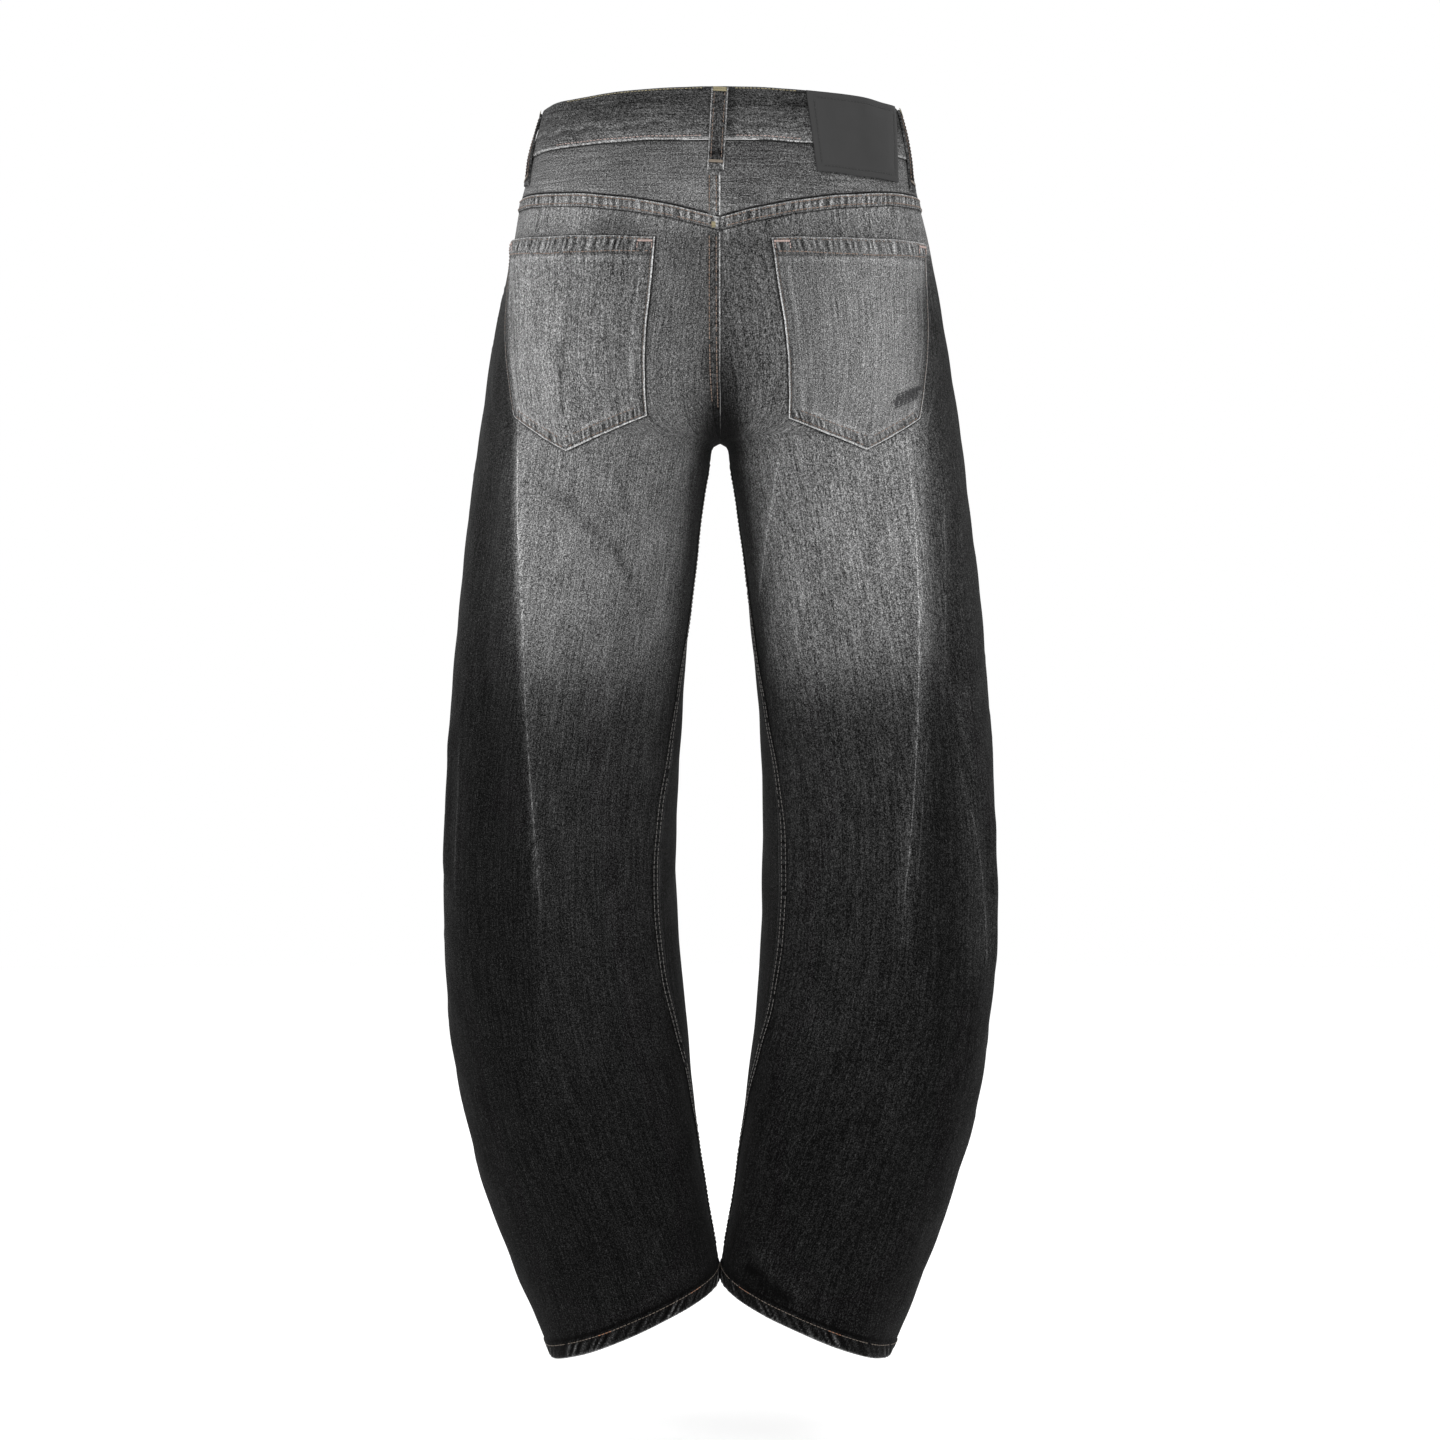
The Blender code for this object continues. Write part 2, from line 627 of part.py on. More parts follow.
def add_centre_loop(name, face, way, lean, side=1):
    """Belt loop a way round from the centre line."""
    across = np.linspace(-0.5, 0.5, 3)
    top_angle = angle_from_centre(np.array([way]), np.array([0.0]), face)[0]
    heights = loop_heights(side, top_angle) * np.ones_like(across)
    down = np.linspace(0.0, 1.0, LOOP_ROWS)[:, None]
    distances = way + lean * down + LOOP_WIDTH * across
    out = loop_rise(down) * np.ones_like(across)
    add_centred(name, side, face, distances, heights, out, LOOP_WALL, DENIM_FADED)


def add_patch():
    """Blank leather patch across the waistband and the right of the yoke."""
    across = np.linspace(0.0, 1.0, 13)
    down = np.linspace(0.0, 1.0, 7)[:, None]
    near = PATCH_IN_TOP + (PATCH_IN_FOOT - PATCH_IN_TOP) * down
    far = PATCH_OUT_TOP + (PATCH_OUT_FOOT - PATCH_OUT_TOP) * down
    distances = near + (far - near) * across
    upper = band_top(angle_from_centre(distances[0], np.zeros_like(across), 1)) - PATCH_BELOW_TOP
    depth = PATCH_IN_DEPTH + (PATCH_OUT_DEPTH - PATCH_IN_DEPTH) * across
    heights = upper - depth * down
    angles = angle_from_centre(distances, heights, 1)
    add_laid("patch", -1, 1, angles, heights, BAND_RAISE + LAID_GAP, PATCH_WALL, LEATHER)


def add_button():
    """Shank button on the lapped end of the waistband, turned about its own axis."""
    height = float(band_top(-90.0)) - BAND_WIDTH / 2
    lifted = BAND_RAISE + BAND_WALL + SEAM_GAP + LAID_GAP
    seat = cloth_point(1, -90.0, height, lifted)
    outward = base_normal(1, np.array(-90.0), np.array(height))
    upward = np.array([0.0, 0.0, 1.0])
    upward = upward - outward * upward.dot(outward)
    upward /= np.linalg.norm(upward)
    sideways = np.cross(upward, outward)
    points = []
    for ring in BUTTON_RINGS:
        centre = seat + outward * BUTTON_HEIGHT * ring.height_share
        for step in range(BUTTON_STEPS):
            turn = 2.0 * math.pi * step / BUTTON_STEPS
            spoke = sideways * math.cos(turn) + upward * math.sin(turn)
            points.append(centre + spoke * BUTTON_RADIUS * ring.radius_share)
    faces = [tuple(reversed(range(BUTTON_STEPS)))]
    last = (len(BUTTON_RINGS) - 1) * BUTTON_STEPS
    faces.append(tuple(range(last, last + BUTTON_STEPS)))
    for level in range(len(BUTTON_RINGS) - 1):
        low = level * BUTTON_STEPS
        for step in range(BUTTON_STEPS):
            following = (step + 1) % BUTTON_STEPS
            high = low + BUTTON_STEPS
            faces.append((low + step, low + following, high + following, high + step))
    add_object("waist_button", points, faces, BUTTON_METAL, 0.35, 1.0)


def clear_scene():
    """Removes what the file opened with."""
    for item in list(bpy.data.objects):
        bpy.data.objects.remove(item, do_unlink=True)


def build():
    """Makes every piece of the jeans."""
    clear_scene()
    add_waistband()
    for word, side in (("left", 1), ("right", -1)):
        add_yoke("yoke_" + word, side)
        add_leg("back_" + word, side, 1, yoke_foot, DENIM_FADED)
        add_leg("front_" + word, side, -1, front_top, DENIM_DARK)
        add_pocket_facing("pocket_facing_" + word, side)
        add_centre_loop("loop_front_" + word, -1, LOOP_FRONT_WAY, 0.0, side)
    for word, pocket in zip(("left", "right"), POCKETS):
        add_back_pocket("back_pocket_" + word, pocket)
    add_centre_loop("loop_back", 1, 0.0, LOOP_BACK_LEAN)
    add_side_loop("loop_side_left", 1, 1, LOOP_LEFT_WAY, LOOP_LEFT_LEAN)
    add_side_loop("loop_side_right", -1, 1, LOOP_RIGHT_WAY, LOOP_RIGHT_LEAN)
    add_fly()
    add_patch()
    add_button()


build()
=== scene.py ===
import math
from collections import namedtuple

import bpy
import numpy as np
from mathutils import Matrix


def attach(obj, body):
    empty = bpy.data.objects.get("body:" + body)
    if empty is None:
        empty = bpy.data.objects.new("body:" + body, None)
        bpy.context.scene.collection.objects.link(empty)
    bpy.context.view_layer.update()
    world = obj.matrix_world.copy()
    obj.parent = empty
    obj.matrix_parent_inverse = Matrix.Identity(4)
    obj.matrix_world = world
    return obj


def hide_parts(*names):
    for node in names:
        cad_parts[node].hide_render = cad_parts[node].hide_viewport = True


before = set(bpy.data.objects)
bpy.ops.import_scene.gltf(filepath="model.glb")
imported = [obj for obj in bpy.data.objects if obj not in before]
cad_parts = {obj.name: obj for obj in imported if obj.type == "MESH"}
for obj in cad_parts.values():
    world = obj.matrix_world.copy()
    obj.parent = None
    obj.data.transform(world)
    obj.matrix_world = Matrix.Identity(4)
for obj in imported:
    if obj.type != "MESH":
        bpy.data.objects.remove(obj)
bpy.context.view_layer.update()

# Looks of the distressed barrel-leg jeans: fine cloth, seams, stitches, wash, wear and painted shade around
# the imported solids. The back faces +Y and the wearer's left is +X. An angle runs round each leg's level
# section: 0 at the inner leg, 90 at the back, 180 at the outer leg and -90 at the front.

# Form of the garment, as in the solids
DENIM_WALL = 0.0018
SEAM_GAP = 0.0003
LAID_GAP = 0.0005
HEM_DEPTH = 0.013
HEM_RAISE = 0.0010

BAND_WIDTH = 0.0437
BAND_WALL = 0.0028
BAND_RAISE = 0.0010
BAND_SIDE_TOP = 0.0180
BAND_BACK_RISE = 0.0076
BAND_FRONT_DIP = 0.0100
BAND_SIDE_EASE = {1: 0.0045, -1: -0.0010}
BAND_LAP = 0.016
BAND_LAP_RUN = 0.060

RISE_START_Z = -0.120
CROTCH_Z = -0.2575
CROTCH_SIDE_Z = -0.2500
RISE_POWER = 4.0
RISE_ROUND = 0.42
CROTCH_ARCH = 0.008
HEM_INNER_Z = -0.9508
HEM_OUTER_Z = -1.0142
HEM_BACK_DROP = 0.0125
HEM_FRONT_LIFT = 0.0125

YOKE_SIDE_Z = -0.0555
YOKE_POINT_DROP = 0.0270
YOKE_CURVE = 3.2
SIDE_SEAM_TURN = 6.0

Pocket = namedtuple("Pocket", "side mouth_in mouth_out foot_in foot_out mouth_in_z mouth_out_z foot_z tip_z")
POCKETS = (
    Pocket(1, 0.1860, 0.0180, 0.2150, 0.1020, -0.0989, -0.0915, -0.2425, -0.2712),
    Pocket(-1, 0.1970, 0.0410, 0.2190, 0.1090, -0.0994, -0.0965, -0.2445, -0.2703),
)
POCKET_TIP_SHARE = 0.56
POCKET_WALL = 0.0016
POCKET_GAP = 0.0009
POCKET_HEM = 0.0130
POCKET_HEM_RAISE = 0.0005

SCOOP_START = 0.42
SCOOP_DEPTH = 0.086
FACING_TUCK = 0.010
FACING_LEAD = 0.02

FLY_WIDTH = 0.038
FLY_LAP = 0.004
FLY_LENGTH = 0.135
FLY_ROUND = 0.70
FLY_FOOT_END = 0.97
FLY_WALL = 0.0014
ZIP_WIDTH = 0.028
ZIP_LENGTH = 0.115
ZIP_WALL = 0.0012

LOOP_WIDTH = 0.014
LOOP_WALL = 0.0017
LOOP_BELOW_BAND = 0.026
LOOP_BELOW_TOP = 0.0015
LOOP_BULGE = 0.0013
SIDE_LOOP_BULGE = 0.0002
LOOP_PUCKER_PITCH = 0.0042
LOOP_BAND_SHARE = 0.60
LOOP_STEP_SHARE = 0.25
LOOP_BACK_LEAN = 0.0037
LOOP_FRONT_WAY = 0.088
LOOP_LEFT_WAY = -0.006
LOOP_LEFT_LEAN = 0.034
LOOP_RIGHT_WAY = 0.014
LOOP_RIGHT_LEAN = 0.022

PATCH_WALL = 0.0014
PATCH_IN_TOP = 0.0702
PATCH_IN_FOOT = 0.0790
PATCH_OUT_TOP = 0.1680
PATCH_OUT_FOOT = 0.1590
PATCH_BELOW_TOP = 0.0006
PATCH_IN_DEPTH = 0.0680
PATCH_OUT_DEPTH = 0.0670
PATCH_WIDTH = 0.088
PATCH_DEPTH = 0.0675

BUTTON_RADIUS = 0.0085
BUTTON_HEIGHT = 0.0036

Section = namedtuple("Section", "z outer inner back front corner turn")
SECTIONS = (
    Section(0.030, 0.1435, 0.0065, 0.0990, 0.0965, 2.15, 0.0),
    Section(0.000, 0.1515, 0.0065, 0.1020, 0.0990, 2.15, 0.0),
    Section(-0.030, 0.1588, 0.0065, 0.1075, 0.1010, 2.20, 0.0),
    Section(-0.080, 0.1700, 0.0065, 0.1170, 0.1020, 2.25, 0.0),
    Section(-0.130, 0.1800, 0.0065, 0.1240, 0.1010, 2.30, 0.0),
    Section(-0.180, 0.1893, 0.0065, 0.1255, 0.0995, 2.35, 0.0),
    Section(-0.220, 0.1953, 0.0065, 0.1225, 0.0985, 2.35, 0.0),
    Section(-0.260, 0.2012, 0.0065, 0.1155, 0.0975, 2.35, 0.0),
    Section(-0.300, 0.2063, 0.0130, 0.1070, 0.0955, 2.30, 1.0),
    Section(-0.380, 0.2158, 0.0225, 0.0945, 0.0905, 2.25, 6.0),
    Section(-0.480, 0.2242, 0.0317, 0.0840, 0.0870, 2.20, 20.0),
    Section(-0.580, 0.2292, 0.0360, 0.0765, 0.0850, 2.20, 33.0),
    Section(-0.650, 0.2300, 0.0350, 0.0730, 0.0820, 2.20, 34.0),
    Section(-0.720, 0.2270, 0.0300, 0.0710, 0.0775, 2.20, 29.0),
    Section(-0.800, 0.2160, 0.0218, 0.0700, 0.0730, 2.20, 11.0),
    Section(-0.880, 0.1950, 0.0118, 0.0685, 0.0690, 2.15, -3.0),
    Section(-0.947, 0.1700, 0.0012, 0.0655, 0.0650, 2.10, -6.0),
    Section(-1.030, 0.1350, 0.0030, 0.0620, 0.0600, 2.05, -7.0),
)

Fold = namedtuple("Fold", "side top top_angle foot foot_angle height spread")
FOLDS = (
    Fold(1, -0.268, 127.0, -0.700, 97.0, 0.0040, 9.0),
    Fold(1, -0.262, 146.0, -0.640, 118.0, -0.0032, 10.0),
    Fold(-1, -0.240, 120.0, -0.640, 100.0, 0.0040, 8.5),
    Fold(-1, -0.250, 140.0, -0.600, 120.0, -0.0030, 10.0),
    Fold(1, -0.480, 163.0, -0.640, 160.0, 0.0028, 8.0),
    Fold(-1, -0.540, 158.0, -0.720, 166.0, 0.0030, 8.0),
    Fold(-1, -0.570, 113.0, -0.720, 104.0, 0.0030, 9.0),
    Fold(1, -0.300, -62.0, -0.560, -84.0, 0.0036, 9.0),
    Fold(-1, -0.290, -66.0, -0.600, -88.0, 0.0038, 9.0),
    Fold(1, -0.600, -112.0, -0.860, -96.0, 0.0036, 11.0),
    Fold(-1, -0.640, -106.0, -0.880, -92.0, 0.0034, 11.0),
    Fold(1, -0.740, 122.0, -0.930, 96.0, 0.0030, 11.0),
    Fold(-1, -0.760, 118.0, -0.940, 90.0, 0.0032, 10.0),
)
FOLD_END = 0.22

# Finer creases, each a line down one face of a leg (1 back, -1 front) at three sideways places:
# lift is how far it stands out or in, width its half width, rub how pale the wash left its crest
Crease = namedtuple("Crease", "side face top foot x_top x_middle x_foot lift width rub")
CREASES = (
    Crease(1, 1, -0.215, -0.660, 0.1635, 0.1590, 0.1450, 0.0009, 0.0040, 0.70),
    Crease(1, 1, -0.500, -0.640, 0.2140, 0.2170, 0.2180, 0.0008, 0.0030, 0.28),
    Crease(-1, 1, -0.225, -0.660, 0.1460, 0.1605, 0.1470, 0.0009, 0.0040, 0.62),
    Crease(-1, 1, -0.290, -0.470, 0.1830, 0.1860, 0.1840, 0.0007, 0.0040, 0.24),
    Crease(-1, 1, -0.500, -0.640, 0.1690, 0.1640, 0.1590, 0.0006, 0.0036, 0.26),
    Crease(-1, 1, -0.262, -0.400, 0.0500, 0.0400, 0.0310, 0.0008, 0.0026, 0.40),
    Crease(1, 1, -0.262, -0.380, 0.0260, 0.0300, 0.0340, 0.0007, 0.0030, 0.22),
    Crease(-1, 1, -0.545, -0.700, 0.2020, 0.2160, 0.2210, 0.0008, 0.0030, 0.26),
    Crease(-1, 1, -0.590, -0.680, 0.1550, 0.1580, 0.1550, 0.0012, 0.0060, 0.18),
    Crease(1, 1, -0.600, -0.820, 0.1000, 0.1040, 0.0960, 0.0009, 0.0070, 0.05),
    Crease(-1, 1, -0.700, -0.900, 0.1200, 0.1130, 0.0980, 0.0010, 0.0080, 0.06),
    Crease(-1, 1, -0.905, -0.968, 0.0260, 0.0400, 0.0620, 0.0022, 0.0050, 0.00),
    Crease(-1, 1, -0.912, -0.968, 0.0180, 0.0290, 0.0480, -0.0026, 0.0060, 0.00),
    Crease(1, 1, -0.890, -0.960, 0.0400, 0.0560, 0.0760, 0.0012, 0.0060, 0.12),
    Crease(1, 1, -0.150, -0.235, 0.0210, 0.0190, 0.0120, 0.0008, 0.0035, 0.16),
    Crease(1, -1, -0.245, -0.600, 0.1480, 0.1590, 0.1470, 0.0008, 0.0034, 0.26),
    Crease(-1, -1, -0.262, -0.540, 0.1560, 0.1640, 0.1500, 0.0008, 0.0036, 0.20),
    Crease(1, -1, -0.172, -0.228, 0.1180, 0.0740, 0.0300, 0.0012, 0.0070, 0.00),
    Crease(1, -1, -0.198, -0.248, 0.1320, 0.0780, 0.0260, 0.0011, 0.0070, 0.00),
    Crease(1, -1, -0.232, -0.272, 0.1240, 0.0800, 0.0340, 0.0011, 0.0080, 0.00),
    Crease(-1, -1, -0.165, -0.224, 0.1240, 0.0760, 0.0290, 0.0012, 0.0070, 0.00),
    Crease(-1, -1, -0.206, -0.250, 0.1160, 0.0700, 0.0270, 0.0011, 0.0070, 0.00),
    Crease(-1, -1, -0.240, -0.284, 0.1340, 0.0840, 0.0330, 0.0010, 0.0080, 0.00),
    Crease(1, -1, -0.560, -0.700, 0.0780, 0.1000, 0.1360, 0.0012, 0.0060, 0.10),
    Crease(-1, -1, -0.590, -0.720, 0.0820, 0.1060, 0.1400, 0.0012, 0.0060, 0.10),
    Crease(1, -1, -0.880, -0.955, 0.0500, 0.0700, 0.0980, 0.0014, 0.0060, 0.14),
    Crease(-1, -1, -0.870, -0.950, 0.0520, 0.0660, 0.0920, 0.0014, 0.0060, 0.14),
)
CREASE_END = 0.16
LINE_REACH = 0.009
LINE_WIDTH = 0.0005

# What a grid of cloth carries for its shader: tone, with painted shade in places, broad rubbing, its place
# across and along the weave, and the distance, strength and width of a thin rubbed line and of a painted
# shade line
Wash = namedtuple(
    "Wash", "tone rub across along line strength width shade depth spread",
    defaults=(0.009, 0.0, 0.0005, 0.009, 0.0, 0.0010),
)

# Slow ripples of soft cloth: lift, and waves along x, y and z with a phase
Ripple = namedtuple("Ripple", "lift across through up phase")
RIPPLES = (
    Ripple(0.00050, 9.0, 4.0, 3.1, 0.4),
    Ripple(0.00040, -13.0, 6.0, 5.7, 2.1),
    Ripple(0.00035, 21.0, -9.0, 4.3, 4.0),
    Ripple(0.00025, 31.0, 12.0, 11.0, 1.2),
    Ripple(0.00022, -17.0, 22.0, 19.0, 5.3),
)
RIPPLE_CENTRE_FADE = 0.035
RIPPLE_SIDE_PHASE = 1.7

# Steps that measure the form
ARC_STEPS = 60
ARC_END = 200.0
RISE_STEPS = 400
SLOPE_TURN = 0.6
SLOPE_RISE = 0.0008

# Fine grids
LEG_COLUMNS = 124
RISE_ROWS = 62
LEG_ROWS = 118
HEM_ROWS = 14
LEG_ROW_CURVE = 1.15
EDGE_FADE = 1.5
EDGE_ROUND = 0.00035

# Seams: raised felled bands, and the small waves that sewing draws into them
BAND_OF_SEAM = 0.0108
INSEAM_BAND = 0.0088
SIDE_ALLOWANCE = 0.0120
SIDE_ALLOWANCE_TOP = -0.1350
SIDE_ALLOWANCE_DEPTH = 0.0028
SIDE_ALLOWANCE_WALL = 0.0008
SEAM_LIFT = 0.0006
SEAM_CLEAR = 0.0002
PUCKER_PITCH = 0.0060
PUCKER_LIFT = 0.00042
ROPE_PITCH = 0.0088
ROPE_LIFT = 0.0008
ROPE_SLANT = 0.95

# Thread
STITCH_PITCH = 0.0034
STITCH_LENGTH = 0.0027
THREAD_RADIUS = 0.00040
THREAD_SIDES = 5
THREAD_REST = 0.0001
BAR_THREAD_RADIUS = 0.00026
Strand = namedtuple("Strand", "shares lifts girths")
STITCH = Strand((0.0, 0.16, 0.5, 0.84, 1.0), (-0.5, 0.35, 0.6, 0.35, -0.5), (0.55, 1.0, 1.05, 1.0, 0.55))
BAR = Strand((-0.5, -0.38, 0.0, 0.38, 0.5), (-0.5, 0.6, 1.0, 0.6, -0.5), (0.6, 1.0, 1.0, 1.0, 0.6))

# Gauges of thread: pitch and length of a stitch, and the thread's radius
FINE_GAUGE = (0.0032, 0.0025, 0.00028)
ORANGE_GAUGE = (0.0032, 0.0025, 0.00029)
LEG_GAUGE = (0.0036, 0.0028, 0.00028)
POCKET_SIDE_GAUGE = (0.0034, 0.0024, 0.00028)
POCKET_FOOT_GAUGE = (0.0034, 0.0025, 0.00031)
PATCH_GAUGE = (0.0031, 0.0024, 0.00028)
DARN_UPRIGHT_GAUGE = (0.0042, 0.0038, 0.00048)
DARN_LEVEL_GAUGE = (0.0044, 0.0036, 0.00044)

# Rows of stitches: how far each lies in from its seam or edge
YOKE_ROWS = (0.0024, 0.0091)
CENTRE_ROWS = (0.0030, 0.0086)
INNER_LEG_ROWS = (0.0022, 0.0064)
SCOOP_ROWS = (0.0022, 0.0085)
FLY_ROWS = (0.0028, 0.0088)
MOUTH_ROWS = (0.0020, 0.0118)
POCKET_SIDE_ROW = 0.0025
POCKET_FOOT_ROWS = (0.0025, 0.0088)
PATCH_ROW = 0.0054
HEM_ROW = 0.0016
HEM_SEARCH_ROWS = 60
ORANGE_STARTS = (27, 67)
ORANGE_RUN = 9
ON_SEAM = SEAM_CLEAR + SEAM_LIFT + 0.0002

# Darn near the foot of the right back pocket, by shares of the way across and down it
DARN_ACROSS = (0.700, 0.950)
DARN_DOWN = (0.780, 0.855)
DARN_UPRIGHTS = 17
DARN_LEVELS = 7

# Zip teeth
TOOTH_PITCH = 0.0026
TOOTH_REACH = 0.0026
TOOTH_HEIGHT = 0.0013
TOOTH_DEPTH = 0.0012

# Tones of the wash, from 0 black to 1 white as seen on the cloth. Down: by height. Across: by the
# share of the way from the centre line to where the fade ends, on each side's seat and thigh
DARK_TONE = 0.079
FADED_TONE = 0.450
FADE_DOWN = (
    (0.030, 0.60), (-0.045, 0.82), (-0.075, 1.02), (-0.100, 0.84), (-0.160, 0.86), (-0.260, 0.86),
    (-0.340, 0.86), (-0.375, 0.82), (-0.400, 0.78), (-0.425, 0.70), (-0.440, 0.61), (-0.456, 0.49),
    (-0.472, 0.37), (-0.488, 0.28), (-0.505, 0.235), (-0.554, 0.185), (-0.603, 0.155), (-0.652, 0.125),
    (-0.717, 0.092), (-0.782, 0.055), (-0.848, 0.020), (-0.962, 0.008),
)
SEAT_ACROSS = {
    1: ((0.00, 0.66), (0.10, 0.68), (0.22, 0.79), (0.34, 0.81), (0.46, 0.84), (0.58, 0.93), (0.70, 1.06),
        (0.83, 1.25), (0.94, 1.26), (0.985, 1.08), (1.01, 0.50), (1.04, 0.22), (1.12, 0.16), (3.0, 0.10)),
    -1: ((0.00, 0.62), (0.15, 0.70), (0.27, 0.77), (0.39, 0.85), (0.51, 0.97), (0.63, 1.04), (0.75, 1.15),
         (0.87, 1.13), (0.95, 0.98), (1.00, 0.50), (1.05, 0.28), (1.12, 0.18), (3.0, 0.10)),
}
THIGH_ACROSS = {
    1: ((0.00, 0.85), (0.35, 0.87), (0.48, 0.88), (0.60, 0.93), (0.73, 1.03), (0.85, 1.08), (0.965, 1.11),
        (0.99, 0.92), (1.02, 0.42), (1.10, 0.27), (1.20, 0.17), (3.0, 0.10)),
    -1: ((0.00, 0.85), (0.26, 0.90), (0.37, 1.00), (0.49, 0.98), (0.60, 1.04), (0.72, 1.03), (0.84, 1.04),
         (0.95, 0.88), (1.01, 0.50), (1.08, 0.28), (1.20, 0.19), (3.0, 0.10)),
}
YOKE_ACROSS = {
    1: ((0.00, 0.90), (0.12, 0.91), (0.227, 0.87), (0.35, 0.88), (0.485, 0.86), (0.605, 0.95), (0.735, 1.07),
        (0.86, 1.07), (1.10, 0.98)),
    -1: ((0.00, 0.78), (0.08, 0.73), (0.156, 0.70), (0.28, 0.73), (0.41, 0.79), (0.53, 0.80), (0.67, 0.84),
         (0.79, 0.92), (0.925, 0.91), (1.10, 0.85)),
}
YOKE_REACH = 0.160
YOKE_FADE_Z = -0.105
YOKE_FADE_RUN = 0.020
SIDE_BLEND = 0.070
THIGH_Z = -0.215
THIGH_RUN = 0.080
FADE_REACH = {
    1: ((-0.075, 0.300), (-0.105, 0.176), (-0.260, 0.1655), (-0.400, 0.1640), (-0.455, 0.1600),
        (-0.520, 0.1550), (-0.640, 0.1500), (-1.100, 0.1500)),
    -1: ((-0.075, 0.300), (-0.105, 0.174), (-0.145, 0.1650), (-0.210, 0.1645), (-0.245, 0.1690),
         (-0.330, 0.1745), (-0.400, 0.1760), (-0.500, 0.1720), (-0.600, 0.1650), (-1.100, 0.1600)),
}
FRONT_FADE_DOWN = (
    (0.030, 0.45), (-0.030, 0.55), (-0.120, 0.66), (-0.200, 0.82), (-0.280, 0.96), (-0.380, 0.96),
    (-0.440, 0.74), (-0.490, 0.40), (-0.540, 0.24), (-0.620, 0.15), (-0.750, 0.08), (-0.950, 0.01),
)
FRONT_FADE_ACROSS = (
    (0.00, 0.42), (0.15, 0.58), (0.35, 0.84), (0.55, 1.00), (0.75, 1.00), (0.90, 0.80), (1.00, 0.48),
    (1.08, 0.24), (1.20, 0.14), (1.60, 0.10), (3.0, 0.08),
)

# Painted shade in hollows: along the centre of the seat, and down the inner side of each leg
CLEFT_X = -0.005
CLEFT_WIDTH = 0.014
CLEFT_DEPTH = 0.46
CLEFT_TOP_Z = -0.150
INNER_WIDTH = 0.013
INNER_DEPTH = {1: 0.66, -1: 0.78}

# Dark and pale marks on one face: a line from top to foot, sideways place and height, with its half width
# and depth, which is below 0 for a pale one. Two above the right hem are painted shade and a painted
# highlight
Mark = namedtuple("Mark", "side face x_top z_top x_foot z_foot width depth")
MARKS = (
    Mark(1, 1, 0.1278, -0.1850, 0.1274, -0.2080, 0.0034, 0.085),
    Mark(1, 1, 0.1276, -0.2080, 0.1256, -0.2400, 0.0016, 0.150),
    Mark(1, 1, 0.1402, -0.3011, 0.1248, -0.3108, 0.0045, 0.050),
    Mark(1, 1, 0.1248, -0.3108, 0.1078, -0.3303, 0.0040, 0.060),
    Mark(1, 1, 0.1078, -0.3303, 0.0851, -0.3489, 0.0030, 0.070),
    Mark(1, 1, 0.0851, -0.3489, 0.0735, -0.3724, 0.0022, 0.110),
    Mark(1, 1, 0.0735, -0.3724, 0.0730, -0.3900, 0.0022, 0.060),
    Mark(1, 1, 0.0835, -0.2873, 0.0754, -0.3165, 0.0022, 0.085),
    Mark(1, 1, 0.1000, -0.0880, 0.0720, -0.0900, 0.0080, 0.070),
    Mark(-1, 1, 0.0000, -0.0800, 0.0040, -0.0930, 0.0080, -0.060),
    Mark(-1, 1, 0.1290, -0.3300, 0.1200, -0.3560, 0.0040, 0.040),
    Mark(-1, 1, 0.2010, -0.4700, 0.2150, -0.6900, 0.0150, -0.050),
    Mark(-1, 1, 0.1480, -0.5300, 0.1500, -0.6700, 0.0045, -0.035),
    # painted shade in the fold just above the right hem, then a painted highlight on the ridge beside it
    Mark(-1, 1, 0.0240, -0.9400, 0.0560, -0.9650, 0.0040, 0.070),
    Mark(-1, 1, 0.0300, -0.9260, 0.0720, -0.9640, 0.0040, -0.030),
    Mark(1, 1, 0.0300, -0.9420, 0.0760, -0.9760, 0.0030, -0.022),
    Mark(1, -1, 0.1180, -0.1720, 0.0300, -0.2280, 0.0055, -0.050),
    Mark(1, -1, 0.1320, -0.1980, 0.0260, -0.2480, 0.0050, -0.045),
    Mark(1, -1, 0.1240, -0.2320, 0.0340, -0.2720, 0.0060, -0.040),
    Mark(1, -1, 0.1120, -0.1880, 0.0320, -0.2400, 0.0060, 0.035),
    Mark(-1, -1, 0.1240, -0.1650, 0.0290, -0.2240, 0.0055, -0.052),
    Mark(-1, -1, 0.1160, -0.2060, 0.0270, -0.2500, 0.0050, -0.045),
    Mark(-1, -1, 0.1340, -0.2400, 0.0330, -0.2840, 0.0060, -0.038),
    Mark(-1, -1, 0.1180, -0.1860, 0.0300, -0.2380, 0.0060, 0.035),
)

# Dyes of the threads
TAN = (0.270, 0.235, 0.135)
BROWN = (0.185, 0.128, 0.098)
DULL_BROWN = (0.120, 0.090, 0.072)
PINK = (0.43, 0.32, 0.29)
BUFF = (0.240, 0.195, 0.150)
GREY = (0.120, 0.114, 0.108)
HEM_THREAD = (0.125, 0.098, 0.075)
ORANGE = (0.27, 0.12, 0.06)
DARN = (0.026, 0.026, 0.028)
BLACK = (0.012, 0.012, 0.012)


def smooth(value):
    """Eases from 0 to 1."""
    value = np.clip(value, 0.0, 1.0)
    return value**2 * (3.0 - 2.0 * value)


def bell(distance, width):
    """1 at no distance, falling away over a width."""
    return np.exp(-((distance / width) ** 2))


def table_curve(rows, value):
    """Straight lines through a table of pairs, in either order."""
    places = np.array([row[0] for row in rows])
    amounts = np.array([row[1] for row in rows])
    if places[0] > places[-1]:
        places = places[::-1]
        amounts = amounts[::-1]
    return np.interp(value, places, amounts)


